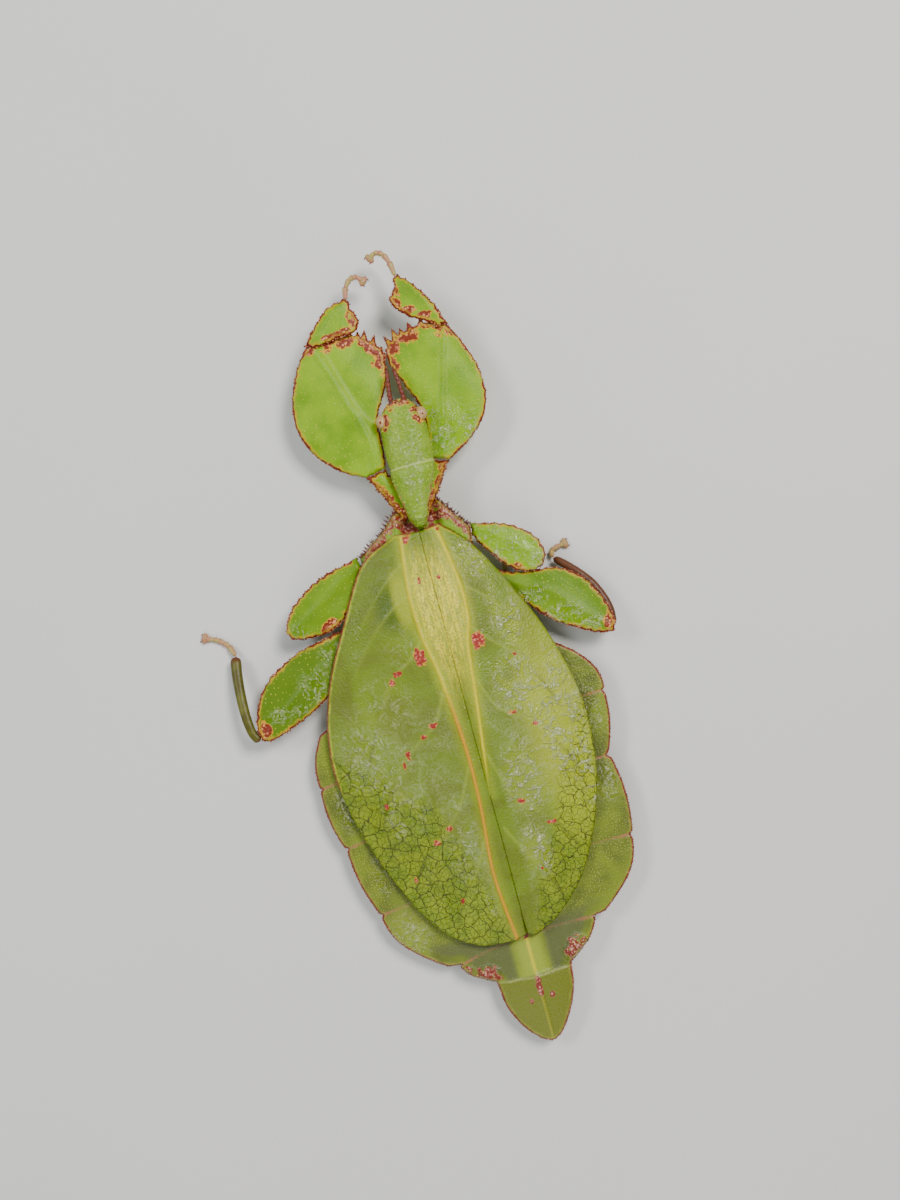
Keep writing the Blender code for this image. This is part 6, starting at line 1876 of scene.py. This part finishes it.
def make_shoulder_spines():
    random = np.random.default_rng(SEED)
    front = smooth_path(SHOULDER_EDGE, 120)
    normals = outward(np.vstack([front, [(-7, 9), (7, 9)]]))[:120]
    points, leans, lengths = [], [], []
    for start, end in ((2, 44), (74, 118)):
        for at in np.arange(start, end, 1.05):
            k = int(at + random.uniform(-0.8, 0.8))
            normal = np.array([*normals[k], random.uniform(0.0, 0.5)])
            normal[1] = -abs(normal[1])
            normal /= np.linalg.norm(normal)
            length = random.uniform(0.22, 0.6) * random.choice((0.8, 1.0, 1.25))
            z = random.uniform(4.1, 4.7)
            middle = np.array([*front[k], z]) + normal * (length / 2 - 0.25)
            points.append(in_frame(middle).tolist())
            leans.append(normal)
            lengths.append(length)
    mesh = bpy.data.meshes.new("spine_points")
    mesh.from_pydata(points, [], [])
    lean = mesh.attributes.new("lean", "FLOAT_VECTOR", "POINT")
    lean.data.foreach_set("vector", np.array(leans, np.float32).reshape(-1))
    length = mesh.attributes.new("length", "FLOAT", "POINT")
    length.data.foreach_set("value", np.array(lengths, np.float32))
    source = add_object("spine_points", mesh)
    spines = grow("shoulder_spines", source, "spines",
                  {"Root Radius": 0.17 * MM, "Finish": finish_of("spine_skin")})
    drop(source)
    dress(spines, "body_green")


class INSECT_OT_grains(bpy.types.Operator):
    """Grows grains along rims, over head and shoulders, and the shoulders' spines"""

    bl_idname = "insect.make_grains"
    bl_label = "Grains and spines"

    def execute(self, context):
        sizes = context.scene.insect_sizes
        grain = finish_of("rim_grain_skin")
        settings = {
            "leg": ("leaf_green", sizes.rim_grain_gap, sizes.rim_grain),
            "trunk": ("olive_green", sizes.rim_grain_gap * 1.1, sizes.rim_grain * 0.75),
            "wing": ("tegmen_green", sizes.rim_grain_gap, sizes.rim_grain * 0.6),
        }
        for part, (slot, gap, size) in settings.items():
            lines = lines_object(rim_lines[part])
            grown = grow(f"{part}_rim_grains", lines, "rim_grains",
                         {"Spacing": gap, "Grain Size": size, "Scatter": 0.06 * MM, "Seed": SEED,
                          "Finish": grain})
            drop(lines)
            dress(grown, slot)
        for source in ("head_skin", "pronotum_skin", "trunk_skin"):
            skin = bpy.data.objects[source]
            grown = grow(f"{source}_grains", skin, "skin_grains",
                         {"Spacing": 0.5 * MM, "Grain Size": sizes.skin_grain, "Seed": SEED,
                          "Finish": finish_of("skin_grain_skin")})
            dress(grown, "body_green")
        make_shoulder_spines()
        return {"FINISHED"}


def make_floor(paint):
    mesh = bpy.data.meshes.new("floor")
    # metres from the middle to each side
    reach = 1.5
    mesh.from_pydata(
        [(-reach, -reach, 0), (reach, -reach, 0), (reach, reach, 0), (-reach, reach, 0)], [],
        [(0, 1, 2, 3)])
    tree, shader = new_finish("floor_pale", roughness=0.7)
    shade = [0.97 * value for value in paint.floor_pale]
    finish_shader(tree, shader, blend(
        tree, ramp(tree, noise(tree, 0.08), 0.3, 0.7), paint.floor_pale, shade))
    mesh.materials.append(finish_of("floor_pale"))
    floor = add_object("floor", mesh)


def make_light(scene):
    world = bpy.data.worlds.new("studio")
    world.use_nodes = True
    background = world.node_tree.nodes["Background"]
    background.inputs["Color"].default_value = (0.93, 0.96, 1.0, 1.0)
    background.inputs["Strength"].default_value = 0.24
    scene.world = world
    lights = (
        # name, place, width, depth, power, colour
        ("key_light", (-0.22, -0.16, 0.42), 0.16, 0.16, 2.3, (1.0, 0.98, 0.95)),
        ("window_light", (0.26, -0.2, 0.34), 0.2, 0.1, 1.0, (0.9, 0.95, 1.0)),
        ("fill_light", (0.1, 0.34, 0.36), 0.4, 0.3, 0.9, (1.0, 0.99, 0.97)),
    )
    for name, spot, width, depth, power, tint in lights:
        lamp = bpy.data.lights.new(name, "AREA")
        lamp.shape = "RECTANGLE"
        lamp.size = width
        lamp.size_y = depth
        lamp.energy = power
        lamp.color = tint
        holder = add_object(name, lamp)
        holder.location = spot
        holder.rotation_mode = "QUATERNION"
        holder.rotation_quaternion = (-Vector(spot)).to_track_quat("-Z", "Y")


def make_camera(scene):
    lens = bpy.data.cameras.new("camera")
    lens.lens = 40.0
    lens.sensor_width = 36.0
    lens.clip_start = 0.01
    lens.clip_end = 20.0
    camera = add_object("camera", lens)
    # the picture's upright leans this much from the body's length
    lean = math.radians(15.09)
    height_seen = 165.0 * MM
    centre = Vector(((PLAN_SHIFT[0] - 1.95) * MM, (PLAN_SHIFT[1] + 10.2) * MM, 4.0 * MM))
    right = Vector((-math.cos(lean), math.sin(lean), 0.0))
    up = Vector((-math.sin(lean), -math.cos(lean), 0.0))
    back = right.cross(up)
    turn = Matrix((right, up, back)).transposed().to_4x4()
    distance = height_seen * lens.lens / lens.sensor_width
    camera.matrix_world = Matrix.Translation(centre + back * distance) @ turn
    scene.camera = camera


class INSECT_OT_stage(bpy.types.Operator):
    """Sets the pale floor, the soft studio light and the camera above the insect"""

    bl_idname = "insect.make_stage"
    bl_label = "Stage"

    def execute(self, context):
        make_floor(context.scene.insect_colours)
        make_light(context.scene)
        make_camera(context.scene)
        return {"FINISHED"}


class INSECT_PT_panel(bpy.types.Panel):
    """Lists the insect's sizes, colours and pieces"""

    bl_idname = "INSECT_PT_panel"
    bl_label = "Leaf insect"
    bl_space_type = "VIEW_3D"
    bl_region_type = "UI"
    bl_category = "Leaf insect"

    def draw(self, context):
        sizes = context.scene.insect_sizes
        for name in sizes.bl_rna.properties.keys():
            if name not in ("rna_type", "name"):
                self.layout.prop(sizes, name)
        for step in STEPS:
            self.layout.operator(step.bl_idname)
        colours = context.scene.insect_colours
        for name in colours.bl_rna.properties.keys():
            if name not in ("rna_type", "name"):
                self.layout.prop(colours, name)


STEPS = (
    INSECT_OT_finishes,
    INSECT_OT_head,
    INSECT_OT_trunk,
    INSECT_OT_wing_covers,
    INSECT_OT_fore_legs,
    INSECT_OT_walking_legs,
    INSECT_OT_grains,
    INSECT_OT_stage,
)
CLASSES = (InsectSizes, InsectColours, *STEPS, INSECT_PT_panel)


def register():
    for kind in CLASSES:
        bpy.utils.register_class(kind)
    bpy.types.Scene.insect_sizes = bpy.props.PointerProperty(type=InsectSizes)
    bpy.types.Scene.insect_colours = bpy.props.PointerProperty(type=InsectColours)


def unregister():
    del bpy.types.Scene.insect_sizes
    del bpy.types.Scene.insect_colours
    for kind in reversed(CLASSES):
        bpy.utils.unregister_class(kind)


def main():
    """Registers everything and makes the pieces in order."""
    register()
    bpy.ops.insect.make_finishes()
    bpy.ops.insect.make_head()
    bpy.ops.insect.make_trunk()
    bpy.ops.insect.make_wing_covers()
    bpy.ops.insect.make_fore_legs()
    bpy.ops.insect.make_walking_legs()
    bpy.ops.insect.make_grains()
    bpy.ops.insect.make_stage()
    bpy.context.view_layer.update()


if __name__ == "__main__":
    main()
